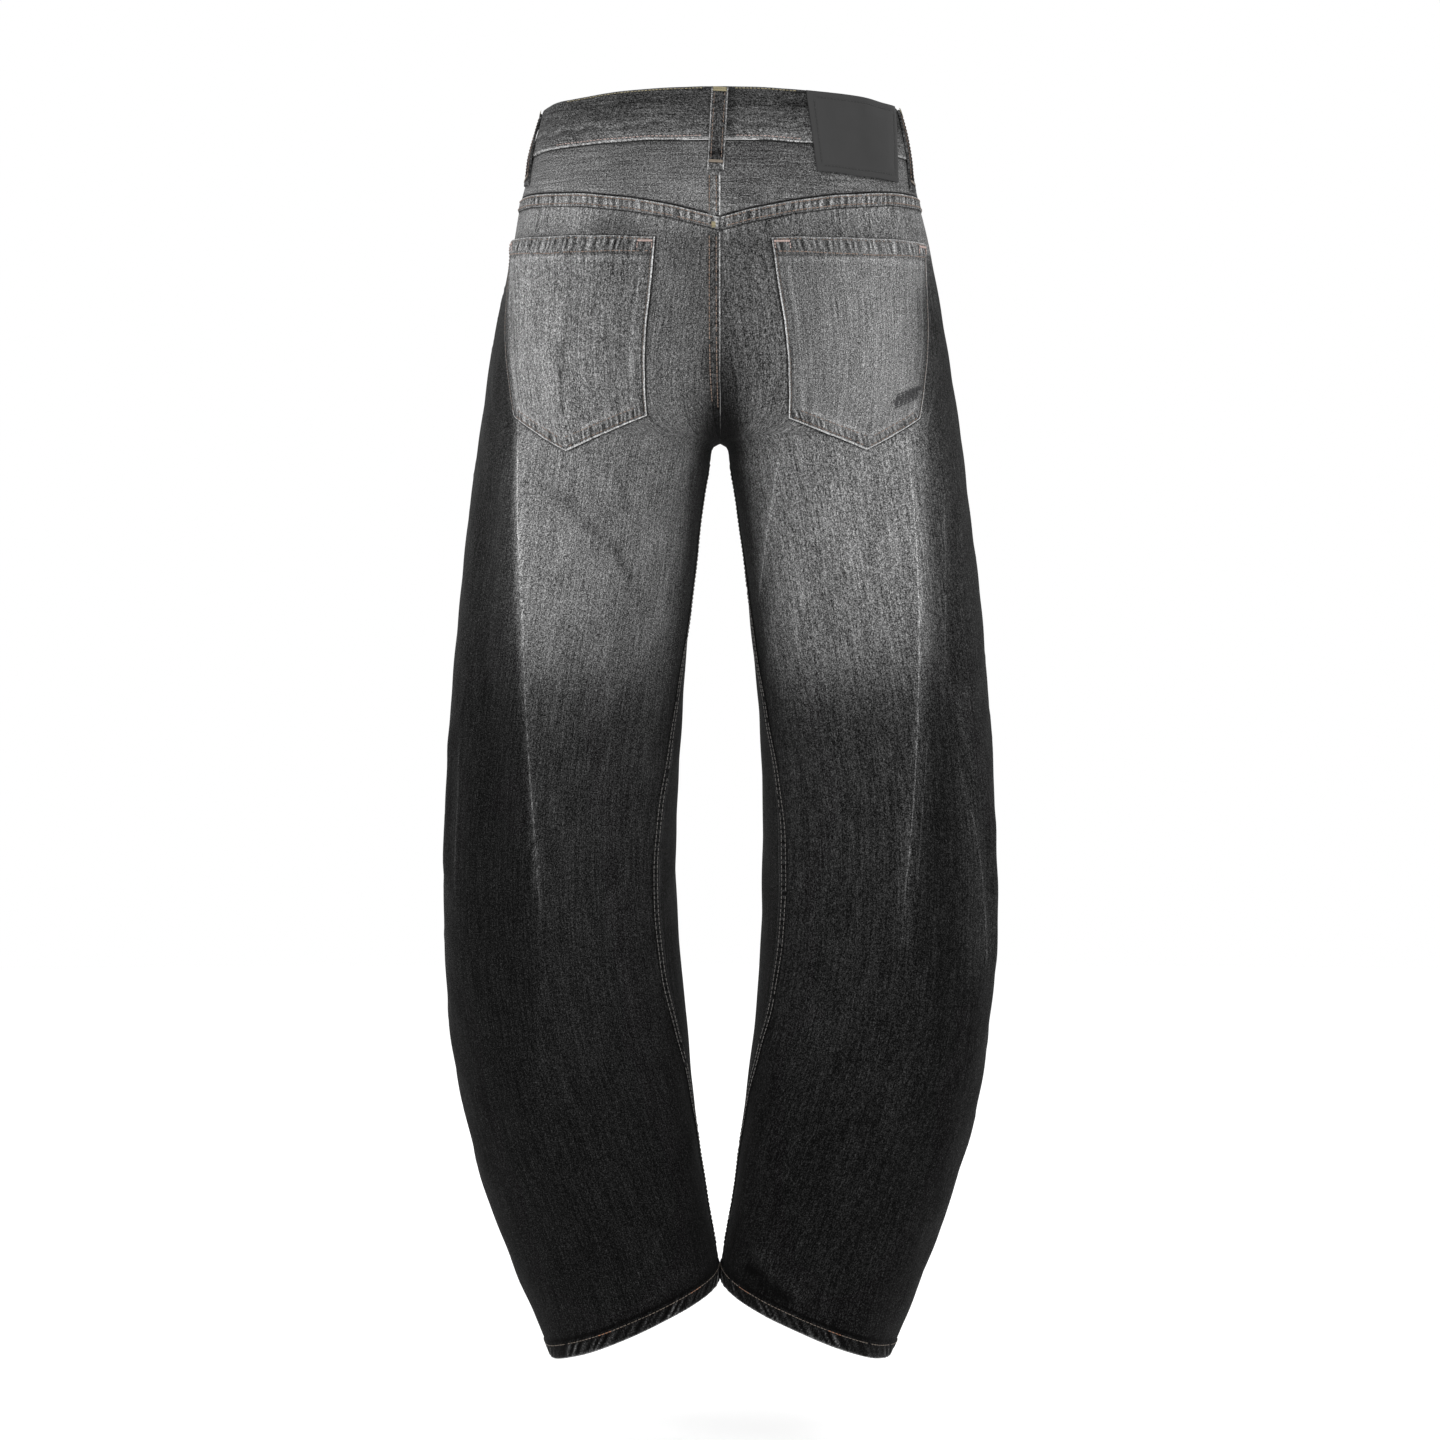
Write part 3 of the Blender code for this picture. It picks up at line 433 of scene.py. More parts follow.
def column(name):
    """Smooth curve through one column of the section table, as a function of height."""
    heights = np.array([row.z for row in reversed(SECTIONS)])
    values = np.array([getattr(row, name) for row in reversed(SECTIONS)])
    slopes = np.gradient(values, heights)

    def value_at(z):
        z = np.clip(z, heights[0], heights[-1])
        i = np.clip(np.searchsorted(heights, z) - 1, 0, len(heights) - 2)
        step = heights[i + 1] - heights[i]
        t = (z - heights[i]) / step
        rise = (3 * t**2 - 2 * t**3) * (values[i + 1] - values[i])
        ease_in = (t**3 - 2 * t**2 + t) * step * slopes[i]
        ease_out = (t**3 - t**2) * step * slopes[i + 1]
        return values[i] + rise + ease_in + ease_out

    return value_at


OUTER = column("outer")
INNER = column("inner")
BACK = column("back")
FRONT = column("front")
CORNER = column("corner")
TURN = column("turn")


def leg_share(z):
    """How far the section has split into two legs at a height: 0 one ring, 1 at the crotch."""
    drop = np.clip((RISE_START_Z - z) / (RISE_START_Z - CROTCH_Z), 0.0, 1.0)
    depth = (1.0 - drop**RISE_POWER) ** RISE_ROUND
    corner = CORNER(z)
    return (1.0 - depth**corner) ** (1.0 / corner)


def section_middle(z):
    """Middle and half width, sideways, of one leg's section."""
    share = leg_share(z)
    outer = OUTER(z)
    arch = np.clip((CROTCH_Z - z) / CROTCH_ARCH, 0.0, 1.0)
    inner = INNER(z) * np.sqrt(1.0 - (1.0 - arch) ** 2)
    above = z >= CROTCH_Z
    middle = np.where(above, outer * share / (1.0 + share), (outer + inner) / 2)
    half = np.where(above, outer / (1.0 + share), (outer - inner) / 2)
    return middle, half


def base_point(side, angle, z):
    """Point of the smooth outer form at an angle in degrees and a height."""
    middle, half = section_middle(z)
    turn = np.radians(angle)
    across = np.cos(turn)
    along = np.sin(turn)
    corner = CORNER(z)
    reach = (np.abs(across) ** corner + np.abs(along) ** corner) ** (-1.0 / corner)
    depth = np.where(along >= 0.0, BACK(z), FRONT(z))
    x = middle - half * reach * across
    y = depth * reach * along
    return np.stack([side * x, y, z * np.ones_like(x)], axis=-1)


def base_normal(side, angle, z):
    """Direction straight out of the cloth."""
    turned = base_point(side, angle + SLOPE_TURN, z) - base_point(side, angle - SLOPE_TURN, z)
    raised = base_point(side, angle, z + SLOPE_RISE) - base_point(side, angle, z - SLOPE_RISE)
    normal = np.cross(raised, turned) * side
    return normal / np.linalg.norm(normal, axis=-1, keepdims=True)


def fold_height(side, angle, z):
    """How far the large folds lift the cloth."""
    lift = np.zeros_like(angle * z)
    for fold in FOLDS:
        if fold.side != side:
            continue
        share = (z - fold.top) / (fold.foot - fold.top)
        line = fold.top_angle + (fold.foot_angle - fold.top_angle) * share
        swell = smooth(np.minimum(share, 1.0 - share) / FOLD_END)
        lift += fold.height * swell * bell(angle - line, fold.spread)
    return lift


def crease_distance(crease, point):
    """How far sideways a point lies from a crease's line, and how full the crease is at its height."""
    share = (point[..., 2] - crease.top) / (crease.foot - crease.top)
    near = crease.x_top * (1.0 - share) * (1.0 - 2.0 * share)
    middle = 4.0 * crease.x_middle * share * (1.0 - share)
    far = crease.x_foot * share * (2.0 * share - 1.0)
    distance = np.abs(point[..., 0]) - (near + middle + far)
    fullness = smooth(np.minimum(share, 1.0 - share) / CREASE_END) * (point[..., 1] * crease.face > 0.01)
    return distance, fullness


def crease_height(side, point):
    """How far the finer creases lift the cloth."""
    lift = np.zeros(point.shape[:-1])
    for crease in CREASES:
        if crease.side == side:
            distance, fullness = crease_distance(crease, point)
            lift += crease.lift * fullness * bell(distance, crease.width)
    return lift


def crease_lines(side, point):
    """Distance to the nearest rubbed crease, how pale its crest is, and the glow beside it."""
    nearest = np.full(point.shape[:-1], LINE_REACH)
    strength = np.zeros(point.shape[:-1])
    glow = np.zeros(point.shape[:-1])
    for crease in CREASES:
        if crease.side == side and crease.rub > 0.0:
            distance, fullness = crease_distance(crease, point)
            closer = np.abs(distance) < np.abs(nearest)
            near = smooth(2.0 - 2.0 * np.abs(distance) / LINE_REACH)
            nearest = np.where(closer, distance, nearest)
            strength = np.where(closer, crease.rub * fullness * near, strength)
            glow = np.maximum(glow, 0.26 * crease.rub * fullness * bell(distance, 0.0036))
    return nearest, strength, glow


def ripple_height(side, point):
    """Slow uneven ripples, dying out at the centre seams, where both sides meet."""
    lift = np.zeros(point.shape[:-1])
    x = np.abs(point[..., 0])
    for ripple in RIPPLES:
        wave = ripple.across * x + ripple.through * point[..., 1] + ripple.up * point[..., 2]
        lift += ripple.lift * np.sin(2.0 * np.pi * wave + ripple.phase + RIPPLE_SIDE_PHASE * side)
    return lift * smooth(x / RIPPLE_CENTRE_FADE)


def cloth_point(side, angle, z, out=0.0):
    """Point of the cloth's outer face, or a distance out from it."""
    angle, z = paired(angle, z)
    point = base_point(side, angle, z)
    lift = fold_height(side, angle, z) + crease_height(side, point) + ripple_height(side, point) + out
    return point + base_normal(side, angle, z) * lift[..., None]


def centre_angle(z):
    """Angle of the centre seam at a height, 0 at the crotch and below it."""
    share = leg_share(z)
    corner = CORNER(z)
    depth = np.maximum(1.0 - share**corner, 0.0) ** (1.0 / corner)
    above = np.degrees(np.arctan2(depth, share))
    return np.where(z >= CROTCH_Z, above, 0.0)


def panel_start(z, face):
    """Angle of a panel's inner edge: the centre seam, then the inseam."""
    return np.where(z >= CROTCH_Z, centre_angle(z) * face, TURN(z))


def panel_end(face):
    """Angle of the side seam, reached round the back or round the front."""
    return 180.0 + SIDE_SEAM_TURN if face > 0 else -180.0 + SIDE_SEAM_TURN


def section_arcs(z, face):
    """Angles round the sections at given heights, and the way round to each from the centre line."""
    start = centre_angle(z)[..., None]
    steps = np.linspace(0.0, 1.0, ARC_STEPS)
    angles = start + (ARC_END - start) * steps
    points = base_point(1, angles * face, z[..., None] * np.ones(ARC_STEPS))
    lengths = np.linalg.norm(np.diff(points, axis=-2), axis=-1)
    arcs = np.concatenate([np.zeros(z.shape + (1,)), np.cumsum(lengths, axis=-1)], axis=-1)
    return angles, arcs


def paired(first, second):
    """Two numbers or grids as floats of one shape."""
    return np.broadcast_arrays(np.asarray(first, float), np.asarray(second, float))


def angle_from_centre(distance, z, face, from_side=False):
    """Angle a way round from the centre line at each height, or back from the side's outermost line."""
    distance, z = paired(distance, z)
    angles, arcs = section_arcs(z, face)
    found = np.empty(z.shape)
    for index in np.ndindex(z.shape):
        way = distance[index]
        if from_side:
            way = np.interp(180.0, angles[index], arcs[index]) - way
        found[index] = np.interp(way, arcs[index], angles[index])
    return found * face


def angle_from_side(distance, z, face):
    """Angle a way round from the outermost line of the side, at each height."""
    return angle_from_centre(distance, z, face, from_side=True)


def turned_by(side, angle, z, distance):
    """Angle a small distance further round from an angle."""
    ahead = base_point(side, angle + SLOPE_TURN, z) - base_point(side, angle - SLOPE_TURN, z)
    return angle + distance * 2.0 * SLOPE_TURN / np.linalg.norm(ahead, axis=-1)


def band_top(angle):
    """Height of the waistband's top edge at an angle round it."""
    along = np.sin(np.radians(angle))
    rise = np.where(along > 0.0, BAND_BACK_RISE, -BAND_FRONT_DIP)
    return BAND_SIDE_TOP + rise * along**2


def band_edge(side, angle):
    """Height of the seam under the waistband."""
    across = np.cos(np.radians(angle))
    return band_top(angle) - BAND_WIDTH + BAND_SIDE_EASE[side] * across**2


def back_angle(share):
    """Angle at a share of the way from the centre back to the side seam."""
    return 90.0 + (90.0 + SIDE_SEAM_TURN) * share


def front_angle(share):
    """Angle at a share of the way from the centre front to the side seam."""
    return -90.0 - (90.0 - SIDE_SEAM_TURN) * share


def yoke_seam(angle):
    """Height of the pointed seam under the yoke."""
    share = np.clip((angle - 90.0) / (90.0 + SIDE_SEAM_TURN), 0.0, 1.0)
    return YOKE_SIDE_Z - YOKE_POINT_DROP * (1.0 - share) ** YOKE_CURVE


def front_top(side, share):
    """Height of the front's upper edge: the waist seam, then the scooped pocket mouth."""
    angle = front_angle(share)
    along = np.clip((share - SCOOP_START) / (1.0 - SCOOP_START), 0.0, 1.0)
    return band_edge(side, angle) - SCOOP_DEPTH * (1.0 - (1.0 - along) ** 2)


def yoke_foot(side, share):
    """Height of the yoke seam, by share of the way from the centre seam to the side."""
    return yoke_seam(back_angle(share))


def mirrored(points, flip):
    """Mirrors the points that lie across the centre line."""
    sign = np.where(flip, -1.0, 1.0)
    return points * np.stack([sign, np.ones_like(sign), np.ones_like(sign)], axis=-1)


def track(side, angles, heights, out, flip=False):
    """Points and outward directions along a line, or over a grid, on the cloth."""
    angles, heights, out = np.broadcast_arrays(angles, heights, out)
    points = cloth_point(side, angles, heights, out)
    normals = base_normal(side, angles, heights)
    if np.any(flip):
        points = mirrored(points, flip)
        normals = mirrored(normals, flip)
    return points, normals


def seat_track(side, distance, heights, face, out):
    """The same by the way round from the centre line; a negative way lies across it."""
    distance, heights = paired(distance, heights)
    angles = angle_from_centre(np.abs(distance), heights, face)
    return track(side, angles, heights, out, distance < 0.0)


def fly_reach(down, inset=0.0):
    """How far the placket reaches from the centre front at a share of the way down."""
    curve = np.clip((down - FLY_ROUND) / (1.0 - FLY_ROUND), 0.0, FLY_FOOT_END)
    return (FLY_WIDTH - inset) * np.sqrt(1.0 - curve**2)


# Wash, wear and painted shade

def fade_tone(side, point):
    """Tone at a point: the wash's pale seat and thighs and dark lower legs, darker sides, and painted shade
    in hollows.
    """
    x = np.abs(point[..., 0])
    z = point[..., 2]
    share = x / table_curve(FADE_REACH[side], z)
    thigh = smooth((THIGH_Z - z) / THIGH_RUN)
    seat_row = table_curve(SEAT_ACROSS[side], share)
    yoke_row = table_curve(YOKE_ACROSS[side], x / YOKE_REACH)
    seat_row = seat_row + (yoke_row - seat_row) * smooth((z - YOKE_FADE_Z) / YOKE_FADE_RUN)
    thigh_row = table_curve(THIGH_ACROSS[side], share)
    back = table_curve(FADE_DOWN, z) * (seat_row + (thigh_row - seat_row) * thigh)
    front = table_curve(FRONT_FADE_DOWN, z) * table_curve(FRONT_FADE_ACROSS, share)
    fade = front + (back - front) * smooth(0.5 + point[..., 1] / SIDE_BLEND)
    tone = DARK_TONE + (FADED_TONE - DARK_TONE) * fade
    # painted shade down the centre of the seat and along the inner side of each leg
    painted_cleft_shade = bell(point[..., 0] - CLEFT_X, CLEFT_WIDTH) * smooth((CLEFT_TOP_Z - z) / 0.09)
    tone = tone * (1.0 - CLEFT_DEPTH * painted_cleft_shade * smooth((z + 0.285) / 0.03))
    below = smooth((-0.215 - z) / 0.05) * (1.0 - 0.75 * smooth((-0.44 - z) / 0.15))
    tone = tone * (1.0 - INNER_DEPTH[side] * bell(x - INNER(z), INNER_WIDTH) * below)
    for mark in MARKS:
        if mark.side == side:
            tone = tone - mark.depth * mark_fullness(mark, x, z) * (point[..., 1] * mark.face > 0.0)
    return tone


def mark_fullness(mark, x, z):
    """1 on a mark's line and 0 away from it."""
    run_x = mark.x_foot - mark.x_top
    run_z = mark.z_foot - mark.z_top
    along = ((x - mark.x_top) * run_x + (z - mark.z_top) * run_z) / (run_x**2 + run_z**2)
    along = np.clip(along, 0.0, 1.0)
    distance = np.hypot(x - mark.x_top - run_x * along, z - mark.z_top - run_z * along)
    return bell(distance, mark.width)


def uneven(along, pitch, seed):
    """Waves along a seam, -1 to 1, uneven in spacing and height."""
    turn = 2.0 * np.pi * along / pitch
    drift = 1.1 * np.sin(0.37 * turn + seed) + 0.8 * np.sin(0.173 * turn + 2.0 * seed)
    swell = 0.72 + 0.28 * np.sin(0.29 * turn + 3.0 * seed)
    return np.sin(turn + drift) * swell


def row_lengths(points):
    """Way along each row of a grid of points."""
    lengths = np.linalg.norm(np.diff(points, axis=1), axis=-1)
    return np.concatenate([np.zeros((len(points), 1)), np.cumsum(lengths, axis=1)], axis=1)


def way_along(points):
    """Way along a line of points."""
    return row_lengths(points[None])[0]


# Meshes

def draw_in(grid, distance):
    """Moves a grid's four edges in by a distance."""
    drawn = grid.copy()
    for edge, inward in ((0, 1), (-1, -2)):
        step = grid[inward] - grid[edge]
        drawn[edge] += step / np.linalg.norm(step, axis=-1, keepdims=True) * distance
        step = grid[:, inward] - grid[:, edge]
        drawn[:, edge] += step / np.linalg.norm(step, axis=-1, keepdims=True) * distance
    return drawn


def rim_of(rows, columns):
    """Places of a grid's edge points, once round."""
    rim = [(0, c) for c in range(columns)]
    rim += [(r, columns - 1) for r in range(1, rows)]
    rim += [(rows - 1, c) for c in range(columns - 2, -1, -1)]
    rim += [(r, 0) for r in range(rows - 2, 0, -1)]
    return np.array(rim)


def add_mesh(name, points, faces, materials, places=None):
    """Adds a smooth mesh that rides with the jeans."""
    mesh = bpy.data.meshes.new(name)
    mesh.from_pydata(np.asarray(points).tolist(), [], faces)
    for material in materials:
        mesh.materials.append(material)
    if places is not None:
        mesh.polygons.foreach_set("material_index", places)
    mesh.shade_smooth()
    piece = bpy.data.objects.new(name, mesh)
    bpy.context.collection.objects.link(piece)
    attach(piece, "root")
    return piece


def ring_faces(rings, steps, start=0):
    """Quads between rings of points, each ring once round."""
    index = start + np.arange(rings * steps).reshape(rings, steps)
    after = np.roll(index, -1, axis=1)
    return np.stack([index[:-1], after[:-1], after[1:], index[1:]], axis=-1).reshape(-1, 4).tolist()


def give(piece, name, values):
    """Stores a vector for each point of a piece."""
    layer = piece.data.attributes.new(name, "FLOAT_VECTOR", "POINT")
    layer.data.foreach_set("vector", np.asarray(values, np.float32).ravel())


def add_cloth(name, outer, inner, flip, wash, materials):
    """Thin closed cloth between an outer and an inner grid, with a rounded edge.

    wash holds what the outer face carries for its shader.
    """
    rows, columns = outer.shape[:2]
    rim = rim_of(rows, columns)
    edge = (draw_in(outer, SEAM_GAP / 2) + draw_in(inner, SEAM_GAP / 2)) / 2
    edge = edge[rim[:, 0], rim[:, 1]]
    outer = draw_in(outer, SEAM_GAP / 2 + EDGE_ROUND)
    inner = draw_in(inner, SEAM_GAP / 2 + EDGE_ROUND)
    count = rows * columns
    points = np.concatenate([outer.reshape(-1, 3), inner.reshape(-1, 3), edge])
    index = np.arange(count).reshape(rows, columns)
    a = index[:-1, :-1].ravel()
    b = index[:-1, 1:].ravel()
    c = index[1:, 1:].ravel()
    d = index[1:, :-1].ravel()
    quads = np.stack([a, b, c, d] if flip else [d, c, b, a], axis=1)
    inside = quads[:, ::-1] + count
    ring = index[rim[:, 0], rim[:, 1]]
    following = np.roll(ring, -1)
    middle = np.arange(len(ring)) + 2 * count
    after = np.roll(middle, -1)
    upper = np.stack([following, ring, middle, after], axis=1)
    lower = np.stack([after, middle, ring + count, following + count], axis=1)
    if not flip:
        upper = upper[:, ::-1]
        lower = lower[:, ::-1]
    faces = np.concatenate([quads, inside, upper, lower])
    places = np.zeros(len(faces), np.int32)
    places[len(quads):2 * len(quads)] = 1
    places[-len(lower):] = 1
    piece = add_mesh(name, points, faces.tolist(), materials, places)
    spread = Wash(*(np.broadcast_to(grid, (rows, columns)) for grid in wash))
    apart = np.full((rows, columns), 0.37 * (sum(map(ord, name)) % 11))
    # the wear layer carries the tone, painted shade included, and the broad rubbing
    layers = (
        ("wear", (spread.tone, spread.rub, apart)),
        ("weave", (spread.across, spread.along, apart)),
        ("line", (spread.line, spread.strength, spread.width)),
        ("shade", (spread.shade, spread.depth, spread.spread)),
    )
    for label, grids in layers:
        stack = np.stack(grids, axis=-1)
        flat = stack.reshape(-1, 3)
        give(piece, label, np.concatenate([flat, flat, stack[rim[:, 0], rim[:, 1]]]))
    return piece


def add_laid(name, side, face, angles, heights, out, wall, wash, materials):
    """Cloth over a grid of angles and heights; out is where its outer face lies."""
    outer = cloth_point(side, angles, heights, out)
    inner = cloth_point(side, angles, heights, out * 0.0 + np.min(out) - wall)
    return add_cloth(name, outer, inner, side * face > 0, wash, materials)


# Shader building

def shader_nodes(name):
    """New material with its shader, and a helper that adds and links nodes."""
    material = bpy.data.materials.new(name)
    material.use_nodes = True
    tree = material.node_tree
    shader = tree.nodes["Principled BSDF"]

    def node(kind, links=(), **settings):
        added = tree.nodes.new(kind)
        for key, value in settings.items():
            setattr(added, key, value)
        for socket, source in links:
            target = added.inputs[socket]
            if isinstance(source, bpy.types.NodeSocket):
                tree.links.new(source, target)
            else:
                target.default_value = source
        return added

    def join(source, socket):
        tree.links.new(source, shader.inputs[socket])

    return material, shader, node, join


def add_up(node, first, second, kind="ADD"):
    """Math node of two values."""
    return node("ShaderNodeMath", ((0, first), (1, second)), operation=kind).outputs[0]


def weighted(node, base, *terms):
    """A base value and the sum of sources, each times its weight."""
    total = base
    for source, weight in terms:
        total = add_up(node, add_up(node, source, weight, "MULTIPLY"), total)
    return total


def scaled(node, vector, sizes):
    """A vector times another."""
    return node("ShaderNodeVectorMath", ((0, vector), (1, sizes)), operation="MULTIPLY").outputs[0]


def carried(node, name):
    """What a mesh carries under a name, as one vector and as its three numbers."""
    vector = node("ShaderNodeAttribute", attribute_name=name).outputs["Vector"]
    return vector, node("ShaderNodeSeparateXYZ", ((0, vector),)).outputs


def noise(node, vector, scale, detail, roughness=0.5):
    """Noise from 0 to 1."""
    links = (("Vector", vector), ("Scale", scale), ("Detail", detail), ("Roughness", roughness))
    return node("ShaderNodeTexNoise", links).outputs["Fac"]


def speckle(node, vector, size_across, size_along, detail):
    """Noise centred on 0, over a cell of a given size in metres."""
    cell = scaled(node, vector, (1.0 / size_across, 1.0 / size_along, 1.0))
    return add_up(node, noise(node, cell, 1.0, detail, 0.6), 0.5, "SUBTRACT")


def thin_line(node, parts):
    """Fullness of a thin line from its distance, strength and width."""
    across = add_up(node, parts[0], parts[2], "DIVIDE")
    fall = add_up(node, add_up(node, across, across, "MULTIPLY"), -1.0, "MULTIPLY")
    full = node("ShaderNodeMath", ((0, fall),), operation="EXPONENT").outputs[0]
    return add_up(node, full, parts[1], "MULTIPLY")


def finish_shader(node, join, shader, grey, relief, strength, depth, **settings):
    """Joins a grey and a relief in metres to a shader, and sets its own sockets."""
    if grey is not None:
        links = (("Red", grey), ("Green", grey), ("Blue", grey))
        join(node("ShaderNodeCombineColor", links).outputs[0], "Base Color")
    if relief is not None:
        bump = node("ShaderNodeBump", (("Height", relief), ("Strength", strength), ("Distance", depth)))
        join(bump.outputs["Normal"], "Normal")
    for socket, value in settings.items():
        shader.inputs[socket.replace("_", " ")].default_value = value


def denim(name, tone_gain=1.0, tone_shift=0.0, contrast=1.0):
    """Washed denim: warp threads rubbed pale over dark ones, uneven dye, twill ribs, soft nap and painted
    shade.
    """
    material, shader, node, join = shader_nodes(name)
    weave, _ = carried(node, "weave")
    # wear brings the tone, painted shade included, and the broad rubbing
    _, wear = carried(node, "wear")
    _, line = carried(node, "line")
    _, shade = carried(node, "shade")
    grain = speckle(node, weave, 0.0009, 0.0030, 2.0)
    salt = speckle(node, weave, 0.0009, 0.0010, 1.0)
    slub = speckle(node, weave, 0.0016, 0.045, 1.0)
    blotch = speckle(node, weave, 0.018, 0.030, 3.0)
    mixed = weighted(node, 0.0, (grain, 0.80), (salt, 1.30), (slub, 0.40), (blotch, 0.18))
    level = weighted(node, tone_shift, (wear[0], tone_gain))
    strength = weighted(node, 0.18 * contrast, (level, 1.45 * contrast))
    level = weighted(node, level, (mixed, strength))
    crest = thin_line(node, line)
    # painted shade: the thin shaded line darkens the tone
    level = add_up(node, level, weighted(node, 1.0, (thin_line(node, shade), -1.0)), "MULTIPLY")
    uneven_wear = weighted(node, 0.95, (salt, 1.5), (slub, 0.6))
    worn = add_up(node, add_up(node, wear[1], crest), uneven_wear, "MULTIPLY")
    level = weighted(node, level, (worn, 0.30))
    level = node("ShaderNodeClamp", (("Value", level), ("Min", 0.02), ("Max", 0.95))).outputs[0]
    links = (("Vector", scaled(node, weave, (1500.0, 900.0, 1.0))), ("Scale", 1.0), ("Distortion", 1.5))
    ribs = node("ShaderNodeTexWave", links, bands_direction="DIAGONAL").outputs["Fac"]
    relief = weighted(node, mixed, (ribs, 0.22), (crest, 1.1))
    finish_shader(
        node, join, shader, add_up(node, level, 2.2, "POWER"), relief, 0.55, 0.0006,
        Roughness=0.92, Specular_IOR_Level=0.06, Sheen_Weight=0.02, Sheen_Roughness=0.5,
    )
    return material


def thread_material():
    """Spun thread in its own dye, with a fine twist."""
    material, shader, node, join = shader_nodes("thread")
    dye = node("ShaderNodeAttribute", attribute_name="dye").outputs["Color"]
    fuzz = noise(node, node("ShaderNodeTexCoord").outputs["Object"], 2600.0, 2.0)
    join(scaled(node, dye, weighted(node, 0.55, (fuzz, 0.9))), "Base Color")
    finish_shader(node, join, shader, None, fuzz, 0.5, 0.0002, Roughness=0.7, Sheen_Weight=0.15)
    return material


def leather_material():
    """Smooth matte charcoal leather with a fine grain."""
    material, shader, node, join = shader_nodes("leather")
    place = node("ShaderNodeTexCoord").outputs["Object"]
    cloud = noise(node, place, 60.0, 4.0)
    pores = node("ShaderNodeTexVoronoi", (("Vector", place), ("Scale", 1500.0))).outputs["Distance"]
    join(weighted(node, 0.56, (cloud, 0.12)), "Roughness")
    relief = weighted(node, noise(node, place, 900.0, 3.0), (pores, 0.5))
    grey = weighted(node, 0.0235, (cloud, 0.012))
    finish_shader(node, join, shader, grey, relief, 0.18, 0.0003, Specular_IOR_Level=0.22)
    return material


def metal_material():
    """Worn gunmetal, brighter and rougher in uneven patches."""
    material, shader, node, join = shader_nodes("button_metal")
    wear = noise(node, node("ShaderNodeTexCoord").outputs["Object"], 420.0, 5.0)
    join(weighted(node, 0.22, (wear, 0.35)), "Roughness")
    grey = weighted(node, 0.20, (wear, 0.22))
    finish_shader(node, join, shader, grey, wear, 0.15, 0.0002, Metallic=1.0)
    return material


def floor_material():
    """Pale matt studio floor."""
    material, shader, node, join = shader_nodes("studio_floor")
    cloud = noise(node, node("ShaderNodeTexCoord").outputs["Object"], 1.5, 2.0)
    finish_shader(
        node, join, shader, weighted(node, 0.93, (cloud, 0.01)), None, None, None,
        Roughness=1.0, Specular_IOR_Level=0.0, Emission_Color=(1.0, 1.0, 1.0, 1.0), Emission_Strength=0.16,
    )
    return material


DENIM = denim("denim")
DENIM_INSIDE = denim("denim_inside", tone_gain=0.45, tone_shift=0.19, contrast=0.9)
THREAD = thread_material()
LEATHER = leather_material()
METAL = metal_material()
CLOTHS = (DENIM, DENIM_INSIDE)


# Cloth pieces

def leg_rows():
    """Shares of the way down a leg below the crotch: even, then close together down the hem."""
    drop = CROTCH_SIDE_Z - HEM_OUTER_Z
    hem_start = 1.0 - 1.25 * HEM_DEPTH / drop
    even = np.linspace(0.0, 1.0, LEG_ROWS + 1) ** LEG_ROW_CURVE * hem_start
    return np.concatenate([even[1:], np.linspace(hem_start, 1.0, HEM_ROWS + 1)[1:]])


def even_rise(top, face):
    """Heights down the centre seam, evenly spaced along its curve to the crotch."""
    return even_heights(top, CROTCH_Z, face, RISE_ROWS)


def leg_grid(side, face, upper_edge):
    """Angles and heights of a leg panel under its upper edge."""
    share = np.linspace(0.0, 1.0, LEG_COLUMNS + 1)
    cosine = (1.0 - np.cos(np.pi * share)) / 2
    edge = upper_edge(side, share)
    inner = even_rise(edge[0], face)[:, None]
    outer = np.linspace(edge[-1], CROTCH_SIDE_Z, RISE_ROWS + 1)[:, None]
    down = np.linspace(0.0, 1.0, RISE_ROWS + 1)[:, None]
    level = inner + (outer - inner) * (share + (cosine - share) * down)
    top_level = edge[0] + (edge[-1] - edge[0]) * share
    rise = level + (edge - top_level) * (1.0 - down) ** EDGE_FADE
    bow = np.sin(np.pi * share) * (-HEM_BACK_DROP if face > 0 else HEM_FRONT_LIFT)
    down = leg_rows()[:, None]
    low = CROTCH_Z + (HEM_INNER_Z - CROTCH_Z) * down
    high = CROTCH_SIDE_Z + (HEM_OUTER_Z - CROTCH_SIDE_Z) * down
    heights = np.concatenate([rise, low + (high - low) * cosine + bow * down**3])
    start = panel_start(heights, face)
    return start + (panel_end(face) - start) * share, heights


def beside_pocket(pocket, point):
    """Distance out from a pocket's outline, as seen from behind."""
    run = np.linspace(0.0, 1.0, 12)
    across = np.concatenate([run, np.ones(11), run[-2::-1], np.zeros(11)])
    down = np.concatenate([np.zeros(12), run[1:], np.ones(11), run[-2::-1]])
    way, heights, _, _ = pocket_place(pocket, across, down)
    outline = cloth_point(pocket.side, angle_from_side(way, heights, 1), heights)[:, [0, 2]]
    place = point[..., [0, 2]]
    nearest = np.full(point.shape[:-1], LINE_REACH)
    inside = np.zeros(point.shape[:-1], bool)
    for start, stop in zip(outline[:-1], outline[1:]):
        run = stop - start
        length = run.dot(run)
        if length == 0.0:
            continue
        offset = place - start
        share = np.clip(offset.dot(run) / length, 0.0, 1.0)
        distance = np.linalg.norm(offset - share[..., None] * run, axis=-1)
        nearest = np.minimum(nearest, distance)
        crossed = (start[1] > place[..., 1]) != (stop[1] > place[..., 1])
        slope = run[0] / run[1] if run[1] else 0.0
        inside ^= crossed & (place[..., 0] < start[0] + slope * (place[..., 1] - start[1]))
    return np.where(inside, -nearest, nearest)


